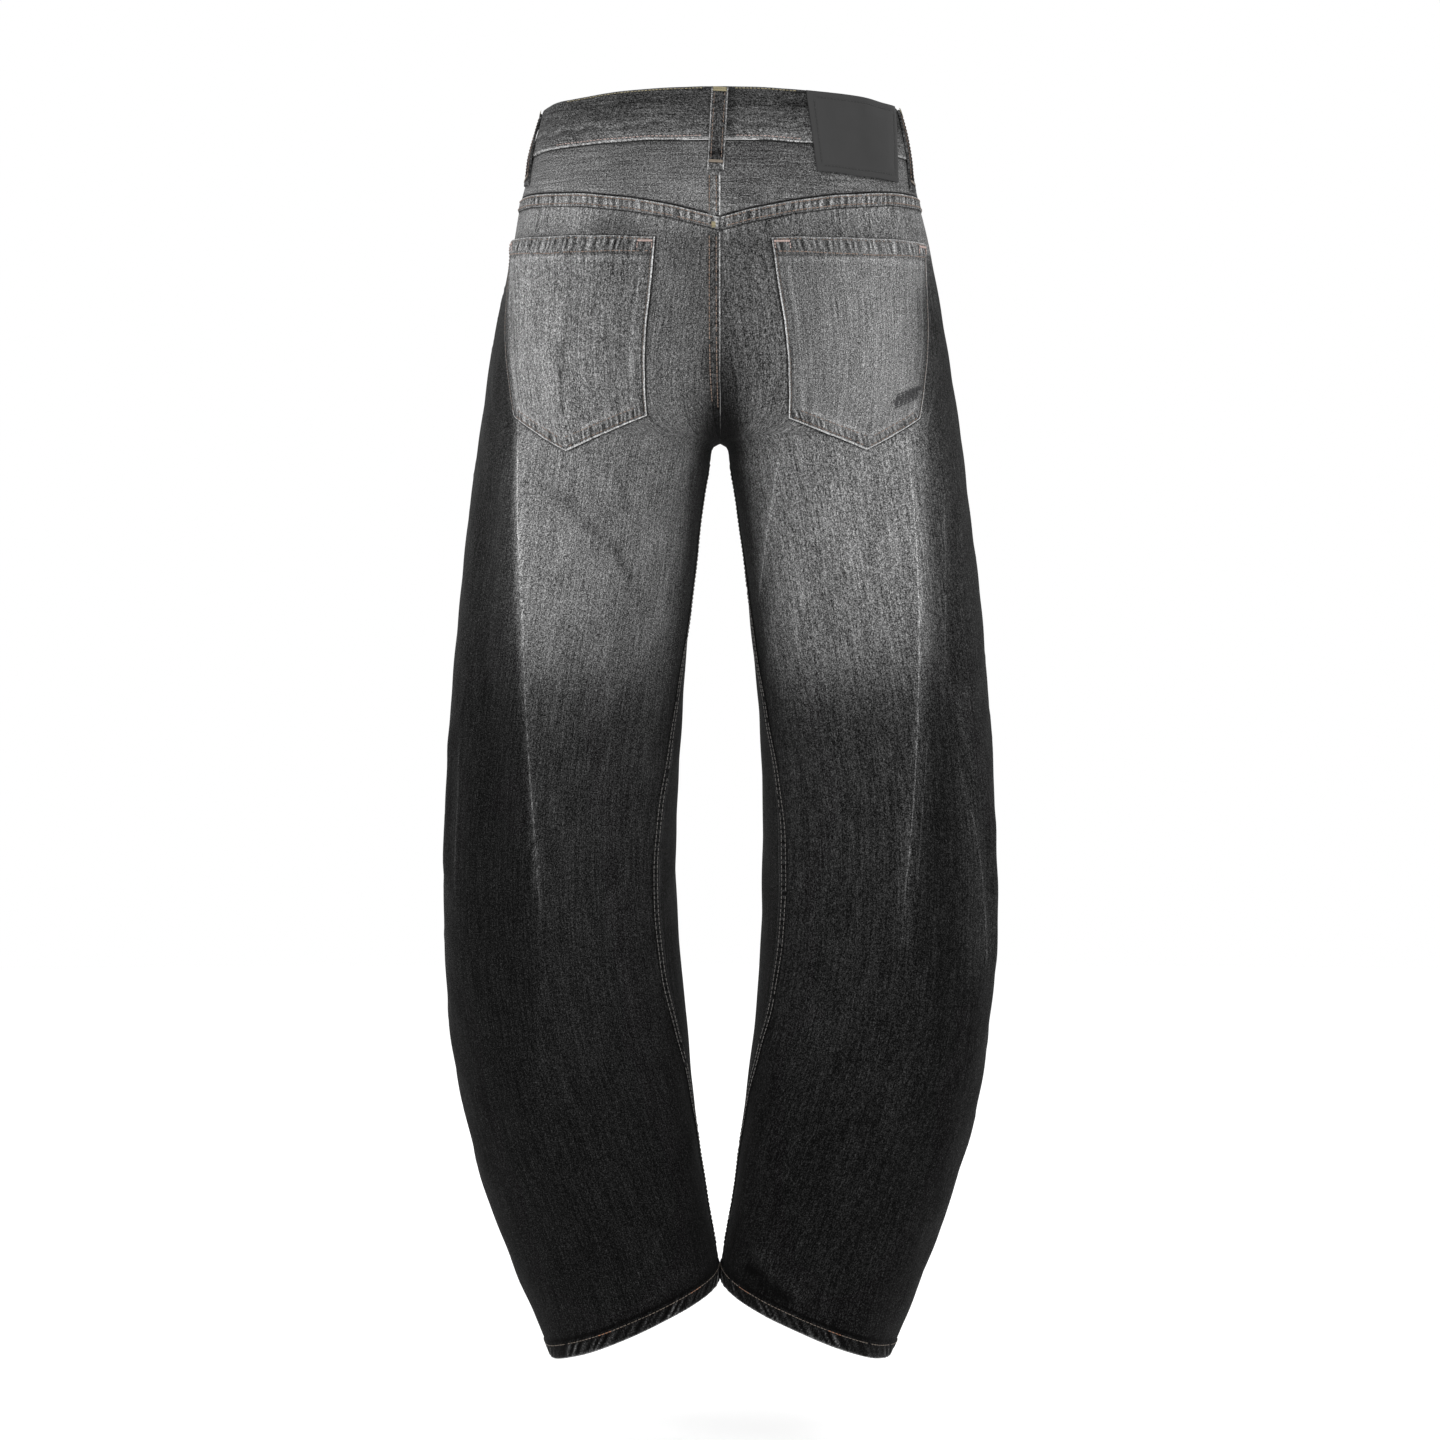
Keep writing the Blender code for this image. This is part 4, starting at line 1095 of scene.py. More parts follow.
def hem_form(above, around, seed):
    """Lift, tone and rub of the turned hem, painted shade above it, by the way above its edge and round it.
    """
    turned = smooth((HEM_DEPTH - above) / (0.12 * HEM_DEPTH))
    slanted = around + ROPE_SLANT * above
    wave = uneven(slanted, ROPE_PITCH, seed)
    heavy = 0.62 + 0.38 * uneven(around, 0.067, seed + 2.0)
    rope = wave * heavy * bell(above - 0.45 * HEM_DEPTH, 0.52 * HEM_DEPTH)
    lift = HEM_RAISE * turned + ROPE_LIFT * rope * turned
    drag = wave * heavy * smooth(1.0 - (above - HEM_DEPTH) / 0.012) * (above > HEM_DEPTH)
    lift = lift + 0.35 * ROPE_LIFT * drag
    # the last term is painted shade: a dark line just above the hem's raised top edge
    tone = 0.13 * rope * turned + 0.035 * drag - 0.05 * bell(above - 1.12 * HEM_DEPTH, 0.0012)
    frayed = 0.55 * heavy * bell(above - 0.0010, 0.0018)
    rub = (1.15 * np.maximum(rope, 0.0) ** 2 + frayed) * turned
    return lift, tone, rub


def add_leg(word, side, face):
    """One leg panel with its creases, seam edges and roped hem."""
    upper_edge = yoke_foot if face > 0 else front_top
    angles, heights = leg_grid(side, face, upper_edge)
    smooth_face = base_point(side, angles, heights)
    way = row_lengths(smooth_face)
    width = way[:, -1:]
    above = heights - heights[-1]
    around = way[-1] * np.ones_like(above)
    lift, hem_tone, hem_rub = hem_form(above, around, 1.3 + side + 0.4 * face)
    from_side = width - way
    puckers = uneven(heights, 0.0062, 2.0 + side)
    side_ridge = bell(from_side - 0.0045, 0.0030)
    inseam_ridge = bell(way - 0.0040, 0.0030) * (heights < CROTCH_Z - 0.01)
    lift = lift + 0.00035 * (side_ridge + 0.6 * inseam_ridge) * (1.0 + puckers)
    tone = fade_tone(side, smooth_face) + hem_tone + 0.045 * side_ridge * (0.4 + puckers)
    tone = tone - 0.02 * bell(from_side, 0.0015) - 0.03 * bell(way, 0.0012)
    line, strength, glow = crease_lines(side, smooth_face)
    edges = (
        (from_side - 0.0015, 0.30, from_side < LINE_REACH / 2),
        (way - 0.0014, 0.40 * (heights < CROTCH_Z - 0.02), way < LINE_REACH / 2),
        (above - 0.0006, 1.10, above < LINE_REACH / 2),
    )
    for distance, full, here in edges:
        line = np.where(here, distance, line)
        strength = np.where(here, full, strength)
    if face > 0:
        below = yoke_seam(angles) - BAND_OF_SEAM - heights
        drawn = uneven(way, PUCKER_PITCH, 1.1 + side) * smooth(1.0 - below / 0.016) * (below > -0.002)
        lift = lift + 0.00022 * drawn
        tone = tone + 0.055 * drawn
    # painted shade: a thin dark line just above the hem's raised top edge
    shade = np.abs(above - 1.12 * HEM_DEPTH)
    depth = np.where(above < 2.0 * HEM_DEPTH, 0.35, 0.0)
    if face > 0:
        # painted shadow: a thin dark line round the back pocket's outline on the panel
        pocket = POCKETS[0] if side > 0 else POCKETS[1]
        beside = beside_pocket(pocket, smooth_face)
        seat = heights > -0.30
        shade = np.where(seat, beside, shade)
        depth = np.where(seat, 0.55 * (np.abs(beside) < 0.8 * LINE_REACH), depth)
        # painted shadow: a thin dark line just under the raised band of the yoke seam
        under = np.abs(below) < 0.004
        shade = np.where(under, below - 0.0004, shade)
        depth = np.where(under, 0.45, depth)
    node = ("back_" if face > 0 else "front_") + word
    wash = Wash(
        tone, hem_rub + glow, way - width / 2, heights, line, strength, LINE_WIDTH, shade, depth, 0.0012,
    )
    piece = add_laid(node + "_cloth", side, face, angles, heights, lift, DENIM_WALL, wash, CLOTHS)
    finish_cloth(node)


def finish_cloth(node):
    """Hides the solid that a cloth piece stands for."""
    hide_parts(node)


# Pale and dark crinkles along the waistband: tone, height above its foot, half width and sway
Crinkle = namedtuple("Crinkle", "tone up width sway")
BAND_CRINKLES = (
    Crinkle(0.06, 0.0150, 0.0022, 1.0),
    Crinkle(-0.05, 0.0118, 0.0016, 1.0),
    Crinkle(0.03, 0.0265, 0.0018, -1.0),
    Crinkle(-0.03, 0.0300, 0.0014, 1.0),
)

# Size that each piece was cut to, and how it is held
Cut = namedtuple("Cut", "width length area held rests_on")


def add_waistband():
    """The waistband strip, its left end lapped over its right end at the centre front."""
    lap = math.degrees(BAND_LAP / FRONT(0.0)) / 2
    turns = np.linspace(-180.0 - lap, 180.0 + lap, 611)
    run = math.degrees(BAND_LAP_RUN / FRONT(0.0))
    near_end = np.clip((turns - (180.0 + lap - run)) / (run - 2 * lap), 0.0, 1.0)
    lapped = smooth(near_end) * (BAND_WALL + SEAM_GAP)
    angle = 90.0 + np.abs(turns)
    top = band_top(angle)
    foot = np.where(turns > 0.0, band_edge(1, angle), band_edge(-1, angle))
    down = np.linspace(0.0, 1.0, 27)[:, None]
    heights = top + (foot - top) * down
    above_foot = heights - foot
    below_top = top - heights
    flat = base_point(1, np.broadcast_to(angle, heights.shape), heights)
    way = row_lengths(mirrored(flat, np.broadcast_to(turns < 0.0, heights.shape)))
    foot_band = smooth((0.0095 - above_foot) / 0.002)
    puckers = uneven(way, PUCKER_PITCH, 0.8)
    lift = BAND_RAISE + lapped + 0.00018 * puckers * foot_band + 0.00010 * uneven(way, 0.021, 2.2)
    lift = lift - 0.00030 * bell(below_top, 0.0014) - 0.00030 * bell(above_foot, 0.0010)
    inner_out = np.broadcast_to(BAND_RAISE + lapped - BAND_WALL, heights.shape)
    right = np.broadcast_to(turns < 0.0, heights.shape)[..., None]
    outer, inner = (
        np.where(right, cloth_point(-1, angle, heights, out), cloth_point(1, angle, heights, out))
        for out in (lift, inner_out)
    )
    wave = 0.0016 * np.sin(way / 0.0105) + 0.0012 * np.sin(way / 0.0047 + 1.0)
    tone = 0.255 + 0.055 * smooth((0.024 - above_foot) / 0.018) + 0.045 * foot_band
    tone = tone + 0.05 * puckers * foot_band
    for crinkle in BAND_CRINKLES:
        tone = tone + crinkle.tone * bell(above_foot - crinkle.up - crinkle.sway * wave, crinkle.width)
    front = np.broadcast_to(angle > 180.0, heights.shape)
    x = outer[..., 0]
    upper = smooth((above_foot - 0.020) / 0.010) * ~front
    tone = tone - (0.030 * smooth((0.10 - x) / 0.03) + 0.035 * smooth((-0.035 - x) / 0.03)) * upper
    # painted shadow of the back belt loop on the band just beside it
    loop_shadow = bell(x + 0.0080, 0.0050) * ~front
    tone = tone - (0.045 + 0.050 * smooth((0.024 - above_foot) / 0.020)) * loop_shadow
    strength = np.where(above_foot < BAND_WIDTH / 2, 1.5, 0.45)
    line = np.minimum(np.abs(above_foot - 0.0006), below_top)
    # painted shade: thin dark lines along both stitch rows
    shade = np.minimum(np.abs(above_foot - 0.0028), np.abs(below_top - 0.0021))
    wash = Wash(tone - 0.02 * front, 0.0, heights, way, line, strength, 0.0008, shade, 0.25, 0.0006)
    piece = add_cloth("waistband_cloth", outer, inner, True, wash, CLOTHS)
    finish_cloth("waistband")


def add_yoke(word, side):
    """Half of the yoke, from the centre seam to the side seam."""
    share = np.linspace(0.0, 1.0, 161)
    top = band_edge(side, back_angle(share))
    foot = yoke_foot(side, share)
    heights = top + (foot - top) * np.linspace(0.0, 1.0, 33)[:, None]
    start = centre_angle(heights)
    angles = start + (180.0 + SIDE_SEAM_TURN - start) * share
    flat = base_point(side, angles, heights)
    way = row_lengths(flat)
    # painted shade: darker just under the waistband
    tone = fade_tone(side, flat) - 0.05 * bell(top - heights, 0.0030)
    above_wrinkle = heights - (foot + 0.016)
    wrinkle = bell(above_wrinkle, 0.0012) * smooth(way / 0.004) * smooth((0.028 - way) / 0.012)
    drawn = uneven(way, PUCKER_PITCH, 1.1 + side) * bell(heights - foot, 0.006)
    tone = tone + 0.03 * drawn
    lift = 0.0004 * wrinkle + 0.00022 * drawn
    # painted shade: thin dark lines just under the waistband and just above the raised yoke seam band
    shade = np.minimum(heights - foot, top - heights)
    strength = 0.6 * wrinkle * (side > 0)
    wash = Wash(tone, 0.0, heights, way, above_wrinkle, strength, LINE_WIDTH, shade, 0.55, 0.0013)
    piece = add_laid("yoke_" + word + "_cloth", side, 1, angles, heights, lift, DENIM_WALL, wash, CLOTHS)
    finish_cloth("yoke_" + word)


def add_pocket_facing(word, side):
    """Cloth that backs one front pocket's mouth, tucked under the front panel."""
    share = np.linspace(SCOOP_START - FACING_LEAD, 1.0, 49)
    angles = front_angle(share)
    top = band_edge(side, angles)
    foot = front_top(side, share) - FACING_TUCK
    heights = top + (foot - top) * np.linspace(0.0, 1.0, 49)[:, None]
    angles = np.broadcast_to(angles, heights.shape)
    flat = base_point(side, angles, heights)
    out = np.full(heights.shape, -DENIM_WALL - LAID_GAP)
    tone = fade_tone(side, flat) - 0.03
    wash = Wash(tone, 0.0, 0.20 * share, heights)
    node = "pocket_facing_" + word
    piece = add_laid(node + "_cloth", side, -1, angles, heights, out, DENIM_WALL, wash, CLOTHS)
    finish_cloth(node)


def pocket_place(pocket, across, down):
    """Distance from the side line and height at shares of the way across and down a pocket."""
    mouth = pocket.mouth_in_z + (pocket.mouth_out_z - pocket.mouth_in_z) * across
    to_tip = np.minimum(across / POCKET_TIP_SHARE, (1.0 - across) / (1.0 - POCKET_TIP_SHARE))
    foot = pocket.foot_z + (pocket.tip_z - pocket.foot_z) * to_tip
    heights = mouth + (foot - mouth) * down
    near = pocket.mouth_in + (pocket.foot_in - pocket.mouth_in) * down
    far = pocket.mouth_out + (pocket.foot_out - pocket.mouth_out) * down
    return near + (far - near) * across, heights, mouth, foot


def add_back_pocket(word, pocket):
    """Five-sided patch pocket: turned mouth, puckered edges and a slightly full middle."""
    across = np.linspace(0.0, 1.0, 157)
    down = np.linspace(0.0, 1.0, 121)[:, None]
    way, heights, mouth, foot = pocket_place(pocket, across, down)
    angles = angle_from_side(way, heights, 1)
    width = np.abs(way[:, -1:] - way[:, :1])
    from_in = across * width
    from_out = (1.0 - across) * width
    below_mouth = mouth - heights
    above_foot = (heights - foot) * 0.88
    from_edge = np.minimum(np.minimum(from_in, from_out), above_foot)
    hem = smooth((POCKET_HEM - below_mouth) / 0.0012)
    mouth_puckers = uneven(way, PUCKER_PITCH, 0.6 + pocket.side) * bell(below_mouth - 0.0066, 0.0048)
    foot_band = bell(above_foot - 0.0050, 0.0036) * (1.0 - hem)
    foot_puckers = uneven(way + 0.25 * pocket.side * heights, 0.0040, 2.6 + pocket.side) * foot_band
    full = 0.0006 * smooth(from_edge / 0.025)
    lift = POCKET_GAP + POCKET_WALL + POCKET_HEM_RAISE * hem + full
    lift = lift + PUCKER_LIFT * (mouth_puckers + foot_puckers) - 0.00025 * bell(from_edge, 0.0009)
    point = base_point(pocket.side, angles, heights)
    tone = fade_tone(pocket.side, point) + 0.01
    tone = tone + 0.19 * mouth_puckers + 0.18 * foot_puckers - 0.03 * hem
    # the first term is painted shade: a dark line just under the edge of the turned mouth
    tone = tone - 0.09 * bell(below_mouth - 0.0146, 0.0013) - 0.03 * foot_band
    rub = 0.25 * bell(from_edge - 0.0105, 0.0016) + 0.20 * bell(below_mouth - 0.0185, 0.0018)
    line = np.minimum(np.abs(from_edge - 0.0005), np.abs(below_mouth - 0.0004))
    strength = np.where(below_mouth < from_edge, 1.20, 1.60)
    # painted shade: a thin dark line along the stitched edges
    shade = np.abs(from_edge - 0.0022)
    grain = (across - 0.5) * 0.165
    wash = Wash(tone, rub, grain, heights, line, strength, 0.0008, shade, 0.34, 0.0008)
    outer = cloth_point(pocket.side, angles, heights, lift)
    inner = cloth_point(pocket.side, angles, heights, POCKET_GAP)
    piece = add_cloth("back_pocket_" + word + "_cloth", outer, inner, pocket.side > 0, wash, CLOTHS)
    finish_cloth("back_pocket_" + word)


def strip_lift(way, share, seed, drawn):
    """Lift and tone across a felled seam's band, by the way along it and the share across it."""
    puckers = drawn * uneven(way, PUCKER_PITCH, seed) * np.sin(np.pi * np.clip(share, 0.0, 1.0)) ** 0.6
    lift = SEAM_CLEAR + SEAM_LIFT * (1.0 - 0.35 * bell(share, 0.12)) + PUCKER_LIFT * puckers
    lift = lift - 0.45 * SEAM_LIFT * smooth((share - 0.86) / 0.14)
    tone = 0.155 * puckers - 0.02 - 0.05 * bell(share - 0.23, 0.10) - 0.05 * bell(share - 0.85, 0.10)
    return lift, tone


def add_strip(
    name, side, face, angles, heights, share, along, seed, edge_rub, drawn,
    flip=False, raised=0.0, paler=0.0,
):
    """Raised band of a felled seam on a grid; share runs across it and along runs down it."""
    flat = base_point(side, angles, heights)
    way = along if along is not None else row_lengths(flat)
    lift, tone = strip_lift(way, share, seed, drawn)
    tone = tone + fade_tone(side, flat) + paler
    flip = np.broadcast_to(flip, heights.shape)
    raised = np.broadcast_to(raised, heights.shape)
    outer, inner = (
        mirrored(cloth_point(side, angles, heights, out + raised), flip) for out in (lift, SEAM_CLEAR)
    )
    across = way if along is None else share * BAND_OF_SEAM
    wash = Wash(tone, 0.0, across, heights, (share - 0.06) * BAND_OF_SEAM, edge_rub, 0.0007)
    piece = add_cloth(name, outer, inner, side * face > 0, wash, CLOTHS)
    return piece


def add_seam_strips():
    """Felled bands under the yoke, down the centre back and up the inner legs."""
    rows = np.linspace(0.0, 1.0, 11)
    for word, side in (("left", 1), ("right", -1)):
        angles = np.linspace(90.35, 179.0 + SIDE_SEAM_TURN, 330)
        heights = yoke_seam(angles) - 0.0004 - BAND_OF_SEAM * rows[:, None]
        grid = np.broadcast_to(angles, heights.shape)
        strip = add_strip(
            "seam_yoke_" + word, side, 1, grid, heights, rows[:, None], None, 1.1 + side, 0.7, 1.0,
            paler=0.03,
        )
        heights = np.linspace(CROTCH_Z - 0.018, HEM_INNER_Z + 0.0012, 440)[:, None]
        share = rows[::2]
        grid = turned_by(side, TURN(heights), heights, INSEAM_BAND * share - 0.0004)
        heights = np.broadcast_to(heights, grid.shape)
        on_hem = HEM_RAISE * smooth((HEM_DEPTH * 1.15 - (heights - HEM_INNER_Z)) / (0.3 * HEM_DEPTH))
        strip = add_strip(
            "seam_inner_leg_" + word, side, 1, grid, heights, share, heights, 0.3 + side, 0.35, 0.6,
            raised=on_hem,
        )
    strips = (
        ("seam_centre_yoke", 1, -0.0455, -0.0815, "back_left"),
        ("seam_centre_seat", 1, -0.0950, -0.2560, "back_left"),
        ("seam_centre_front", -1, -0.1720, -0.2560, "front_left"),
    )
    for name, face, top, foot, node in strips:
        heights = even_heights(top, foot, face, int((top - foot) / 0.0007))[:, None]
        distance, heights = np.broadcast_arrays(0.0106 * rows - 0.0006, heights)
        grid = angle_from_centre(np.abs(distance), heights, face)
        strip = add_strip(name, 1, face, grid, heights, rows, heights, 0.9, 1.50, 0.30, distance < 0.0)


def add_side_allowances():
    """Pressed-open seam allowance inside each side seam, from under the pocket facing to the hem."""
    share = np.linspace(0.0, 1.0, 5)
    heights = np.linspace(SIDE_ALLOWANCE_TOP, HEM_OUTER_Z + 0.0012, 300)[:, None]
    for word, side in (("left", 1), ("right", -1)):
        start = panel_end(1) * np.ones_like(heights)
        grid = turned_by(side, start, heights, SIDE_ALLOWANCE * (share - 0.5))
        level = np.broadcast_to(heights, grid.shape)
        outer = cloth_point(side, grid, level, -SIDE_ALLOWANCE_DEPTH)
        inner = cloth_point(side, grid, level, -SIDE_ALLOWANCE_DEPTH - SIDE_ALLOWANCE_WALL)
        wash = Wash(0.10, 0.0, SIDE_ALLOWANCE * share, level)
        piece = add_cloth("seam_side_" + word, outer, inner, side > 0, wash, CLOTHS)


def even_heights(top, foot, face, count):
    """Heights down the centre seam, evenly spaced along its curve."""
    heights = np.linspace(top, foot, RISE_STEPS)
    line = base_point(1, centre_angle(heights) * face, heights)
    lengths = way_along(line)
    return np.interp(np.linspace(0.0, lengths[-1], count + 1), lengths, heights)


def loop_rise(down, from_side):
    """How far a belt loop's inner face stands off the cloth, down its length; side loops lie close."""
    bulge = SIDE_LOOP_BULGE if from_side else LOOP_BULGE
    over_band = np.clip(down / LOOP_BAND_SHARE, 0.0, 1.0)
    on_band = BAND_RAISE + LAID_GAP + bulge * np.sin(np.pi * over_band)
    past = smooth((down - LOOP_BAND_SHARE) / LOOP_STEP_SHARE)
    return on_band - BAND_RAISE * past


def loop_grid(loop):
    """Shares across and down a belt loop, and its heights."""
    measure = angle_from_side if loop.from_side else angle_from_centre
    angle = measure(np.array([loop.way]), np.array([0.0]), loop.face)[0]
    across = np.linspace(-0.5, 0.5, 19)
    down = np.linspace(0.0, 1.0, 61)[:, None]
    top = float(band_top(angle)) - LOOP_BELOW_TOP
    foot = float(band_edge(loop.side, angle)) - LOOP_BELOW_BAND
    return across, down, (top + (foot - top) * down) * np.ones_like(across)


def loop_track(loop, across, down, heights, out):
    """Points and outward directions on a belt loop at shares of the way across and down it."""
    ways = loop.way + loop.lean * down + LOOP_WIDTH * across
    if loop.from_side:
        return track(loop.side, angle_from_side(ways, heights, loop.face), heights, out)
    return seat_track(loop.side, ways, heights, loop.face, out)


def add_loop(loop):
    """Belt loop a way round from the side line or from the centre line."""
    across, down, heights = loop_grid(loop)
    if loop.from_side:
        across = -across
    rise = loop_rise(down, loop.from_side) * np.ones_like(across)
    from_middle = np.abs(across)
    ridge = 0.00022 * np.sin(np.pi * np.clip(from_middle * 4.0, 0.0, 1.0))
    ridge = ridge - 0.0003 * bell(from_middle - 0.5, 0.05)
    puckers = uneven(heights, LOOP_PUCKER_PITCH, 1.9) * bell(from_middle - 0.3, 0.16)
    lift = rise + LOOP_WALL + ridge + 0.00014 * puckers
    outer, _ = loop_track(loop, across, down, heights, lift)
    inner, _ = loop_track(loop, across, down, heights, rise)
    tone = 0.235 - 0.03 * bell(from_middle, 0.16) + 0.13 * smooth((down - 0.92) / 0.03)
    # loop.dark paints shade on the side loops: darker cloth and, below, a fainter pale edge line
    tone = tone - 0.10 * bell(down - 0.80, 0.05) + 0.07 * puckers - loop.dark
    from_edge = LOOP_WIDTH * (0.5 - from_middle) * np.ones_like(heights)
    strength = 1.30 * max(1.0 - 6.0 * loop.dark, 0.0)
    wash = Wash(tone, 0.0, LOOP_WIDTH * across, heights, from_edge - 0.0005, strength, 0.0006)
    piece = add_cloth(loop.node + "_cloth", outer, inner, loop.side * loop.face > 0, wash, CLOTHS)
    finish_cloth(loop.node)


def add_fly():
    """Placket over the centre front, round at its foot, and the zip tape behind it."""
    across = np.linspace(0.0, 1.0, 35)
    down = np.linspace(0.0, 1.0, 91)[:, None]
    top = float(band_edge(1, -90.0)) - SEAM_GAP
    reach = fly_reach(down)
    distances = -FLY_LAP + (reach + FLY_LAP) * across
    heights = top - FLY_LENGTH * down * np.ones_like(across)
    from_edge = np.minimum(distances + FLY_LAP, reach - distances)
    lift = LAID_GAP + FLY_WALL + 0.00012 * uneven(heights, 0.0070, 1.0) * bell(from_edge - 0.003, 0.003)
    outer, _ = seat_track(1, distances, heights, -1, lift)
    inner, _ = seat_track(1, distances, heights, -1, LAID_GAP)
    flat, _ = seat_track(1, distances, heights, -1, 0.0)
    tone = fade_tone(1, flat) + 0.01
    wash = Wash(tone, 0.0, distances, heights, from_edge - 0.0005, 0.7, 0.0006)
    piece = add_cloth("fly_placket_cloth", outer, inner, False, wash, CLOTHS)
    finish_cloth("fly_placket")
    across = np.linspace(-0.5, 0.5, 13)
    heights = top - ZIP_LENGTH * np.linspace(0.0, 1.0, 61)[:, None] * np.ones_like(across)
    distances = ZIP_WIDTH * across * np.ones_like(heights)
    behind = -DENIM_WALL - LAID_GAP
    outer, _ = seat_track(1, distances, heights, -1, behind)
    inner, _ = seat_track(1, distances, heights, -1, behind - ZIP_WALL)
    piece = add_cloth("fly_zip_tape", outer, inner, False, Wash(0.10, 0.0, distances, heights), CLOTHS)
    finish_cloth("fly_zip")


def add_zip_teeth():
    """Two rows of meshing metal teeth on the inner face of the zip tape."""
    top = float(band_edge(1, -90.0)) - 2.0 * TOOTH_PITCH
    corners = np.array([(a, b, c) for a in (0.0, 1.0) for b in (-0.5, 0.5) for c in (0.0, 1.0)])
    quads = ((0, 1, 3, 2), (4, 6, 7, 5), (0, 4, 5, 1), (2, 3, 7, 6), (0, 2, 6, 4), (1, 5, 7, 3))
    points = []
    faces = []
    count = int((ZIP_LENGTH - 4.0 * TOOTH_PITCH) / TOOTH_PITCH)
    for tooth in range(2 * count):
        hand = 1 if tooth % 2 else -1
        height = top - 0.5 * TOOTH_PITCH * tooth
        taper = 1.0 - 0.28 * corners[:, 0]
        way = hand * TOOTH_REACH * (corners[:, 0] * 1.25 - 0.20)
        level = height + TOOTH_HEIGHT * corners[:, 1] * (0.72 + 0.28 * corners[:, 0])
        out = -DENIM_WALL - LAID_GAP - ZIP_WALL - 0.0001 - TOOTH_DEPTH * corners[:, 2] * taper
        solid, _ = seat_track(1, way, level, -1, out)
        order = quads if hand < 0 else [quad[::-1] for quad in quads]
        faces += [tuple(corner + 8 * tooth for corner in quad) for quad in order]
        points.append(solid)
    piece = add_mesh("zip_teeth", np.concatenate(points), faces, (METAL,))
    piece.data.shade_flat()
    bevel = piece.modifiers.new("worn corners", "BEVEL")
    bevel.width = 0.0002
    bevel.segments = 2


def patch_place(across, down):
    """Angle and height at shares of the way across and down the patch."""
    near = PATCH_IN_TOP + (PATCH_IN_FOOT - PATCH_IN_TOP) * down
    far = PATCH_OUT_TOP + (PATCH_OUT_FOOT - PATCH_OUT_TOP) * down
    distances = near + (far - near) * across
    top_way = PATCH_IN_TOP + (PATCH_OUT_TOP - PATCH_IN_TOP) * across
    upper = band_top(angle_from_centre(top_way, np.zeros_like(top_way), 1)) - PATCH_BELOW_TOP
    depth = PATCH_IN_DEPTH + (PATCH_OUT_DEPTH - PATCH_IN_DEPTH) * across
    heights = upper - depth * down
    return angle_from_centre(distances, heights, 1), heights


def add_patch():
    """Blank leather patch, softly domed inside its stitched border."""
    across, down = np.meshgrid(np.linspace(0.0, 1.0, 101), np.linspace(0.0, 1.0, 76))
    angles, heights = patch_place(across, down)
    from_side = np.minimum(across, 1.0 - across) * PATCH_WIDTH
    from_edge = np.minimum(from_side, np.minimum(down, 1.0 - down) * PATCH_DEPTH)
    base = BAND_RAISE + LAID_GAP
    groove = bell(from_edge - PATCH_ROW, 0.0008)
    lift = base + PATCH_WALL - 0.00035 * bell(from_edge, 0.0012) - 0.00042 * groove
    lift = lift + 0.0003 * smooth((from_edge - 0.006) / 0.010)
    outer = cloth_point(-1, angles, heights, lift)
    inner = cloth_point(-1, angles, heights, base)
    wash = Wash(0.2, 0.0, across * PATCH_WIDTH, heights)
    piece = add_cloth("patch_leather", outer, inner, False, wash, (LEATHER, LEATHER))
    finish_cloth("patch")


def add_button():
    """Plain turned shank button with a dished face."""
    height = float(band_top(-90.0)) - BAND_WIDTH / 2
    lifted = BAND_RAISE + BAND_WALL + SEAM_GAP + LAID_GAP
    flat = base_point(1, np.array(-90.0), np.array(height))
    outward = base_normal(1, np.array(-90.0), np.array(height))
    seat = flat + outward * lifted
    upward = np.array([0.0, 0.0, 1.0]) - outward * outward[2]
    upward /= np.linalg.norm(upward)
    sideways = np.cross(upward, outward)
    rings = (
        (0.30, 0.00), (0.55, 0.00), (0.55, 0.34), (0.93, 0.42), (0.985, 0.50), (1.00, 0.62), (0.985, 0.80),
        (0.93, 0.93), (0.86, 1.00), (0.79, 0.97), (0.74, 0.86), (0.68, 0.80), (0.55, 0.80), (0.46, 0.84),
        (0.36, 0.90), (0.20, 0.95), (0.08, 0.97),
    )
    steps = 64
    points = []
    for radius, along in rings:
        turn = 2.0 * np.pi * np.arange(steps) / steps
        spoke = np.outer(np.cos(turn), sideways) + np.outer(np.sin(turn), upward)
        points.append(seat + outward * along * BUTTON_HEIGHT + spoke * radius * BUTTON_RADIUS)
    faces = [tuple(reversed(range(steps))), tuple(range((len(rings) - 1) * steps, len(rings) * steps))]
    faces += ring_faces(len(rings), steps)
    piece = add_mesh("waist_button_metal", np.concatenate(points), faces, (METAL,))
    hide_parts("waist_button")


# Thread

def followed(line, places):
    """Points and outward directions at ways along a line."""
    lengths = way_along(line[0])
    return [
        np.stack([np.interp(places, lengths, values[:, axis]) for axis in range(3)], axis=-1)
        for values in line
    ]


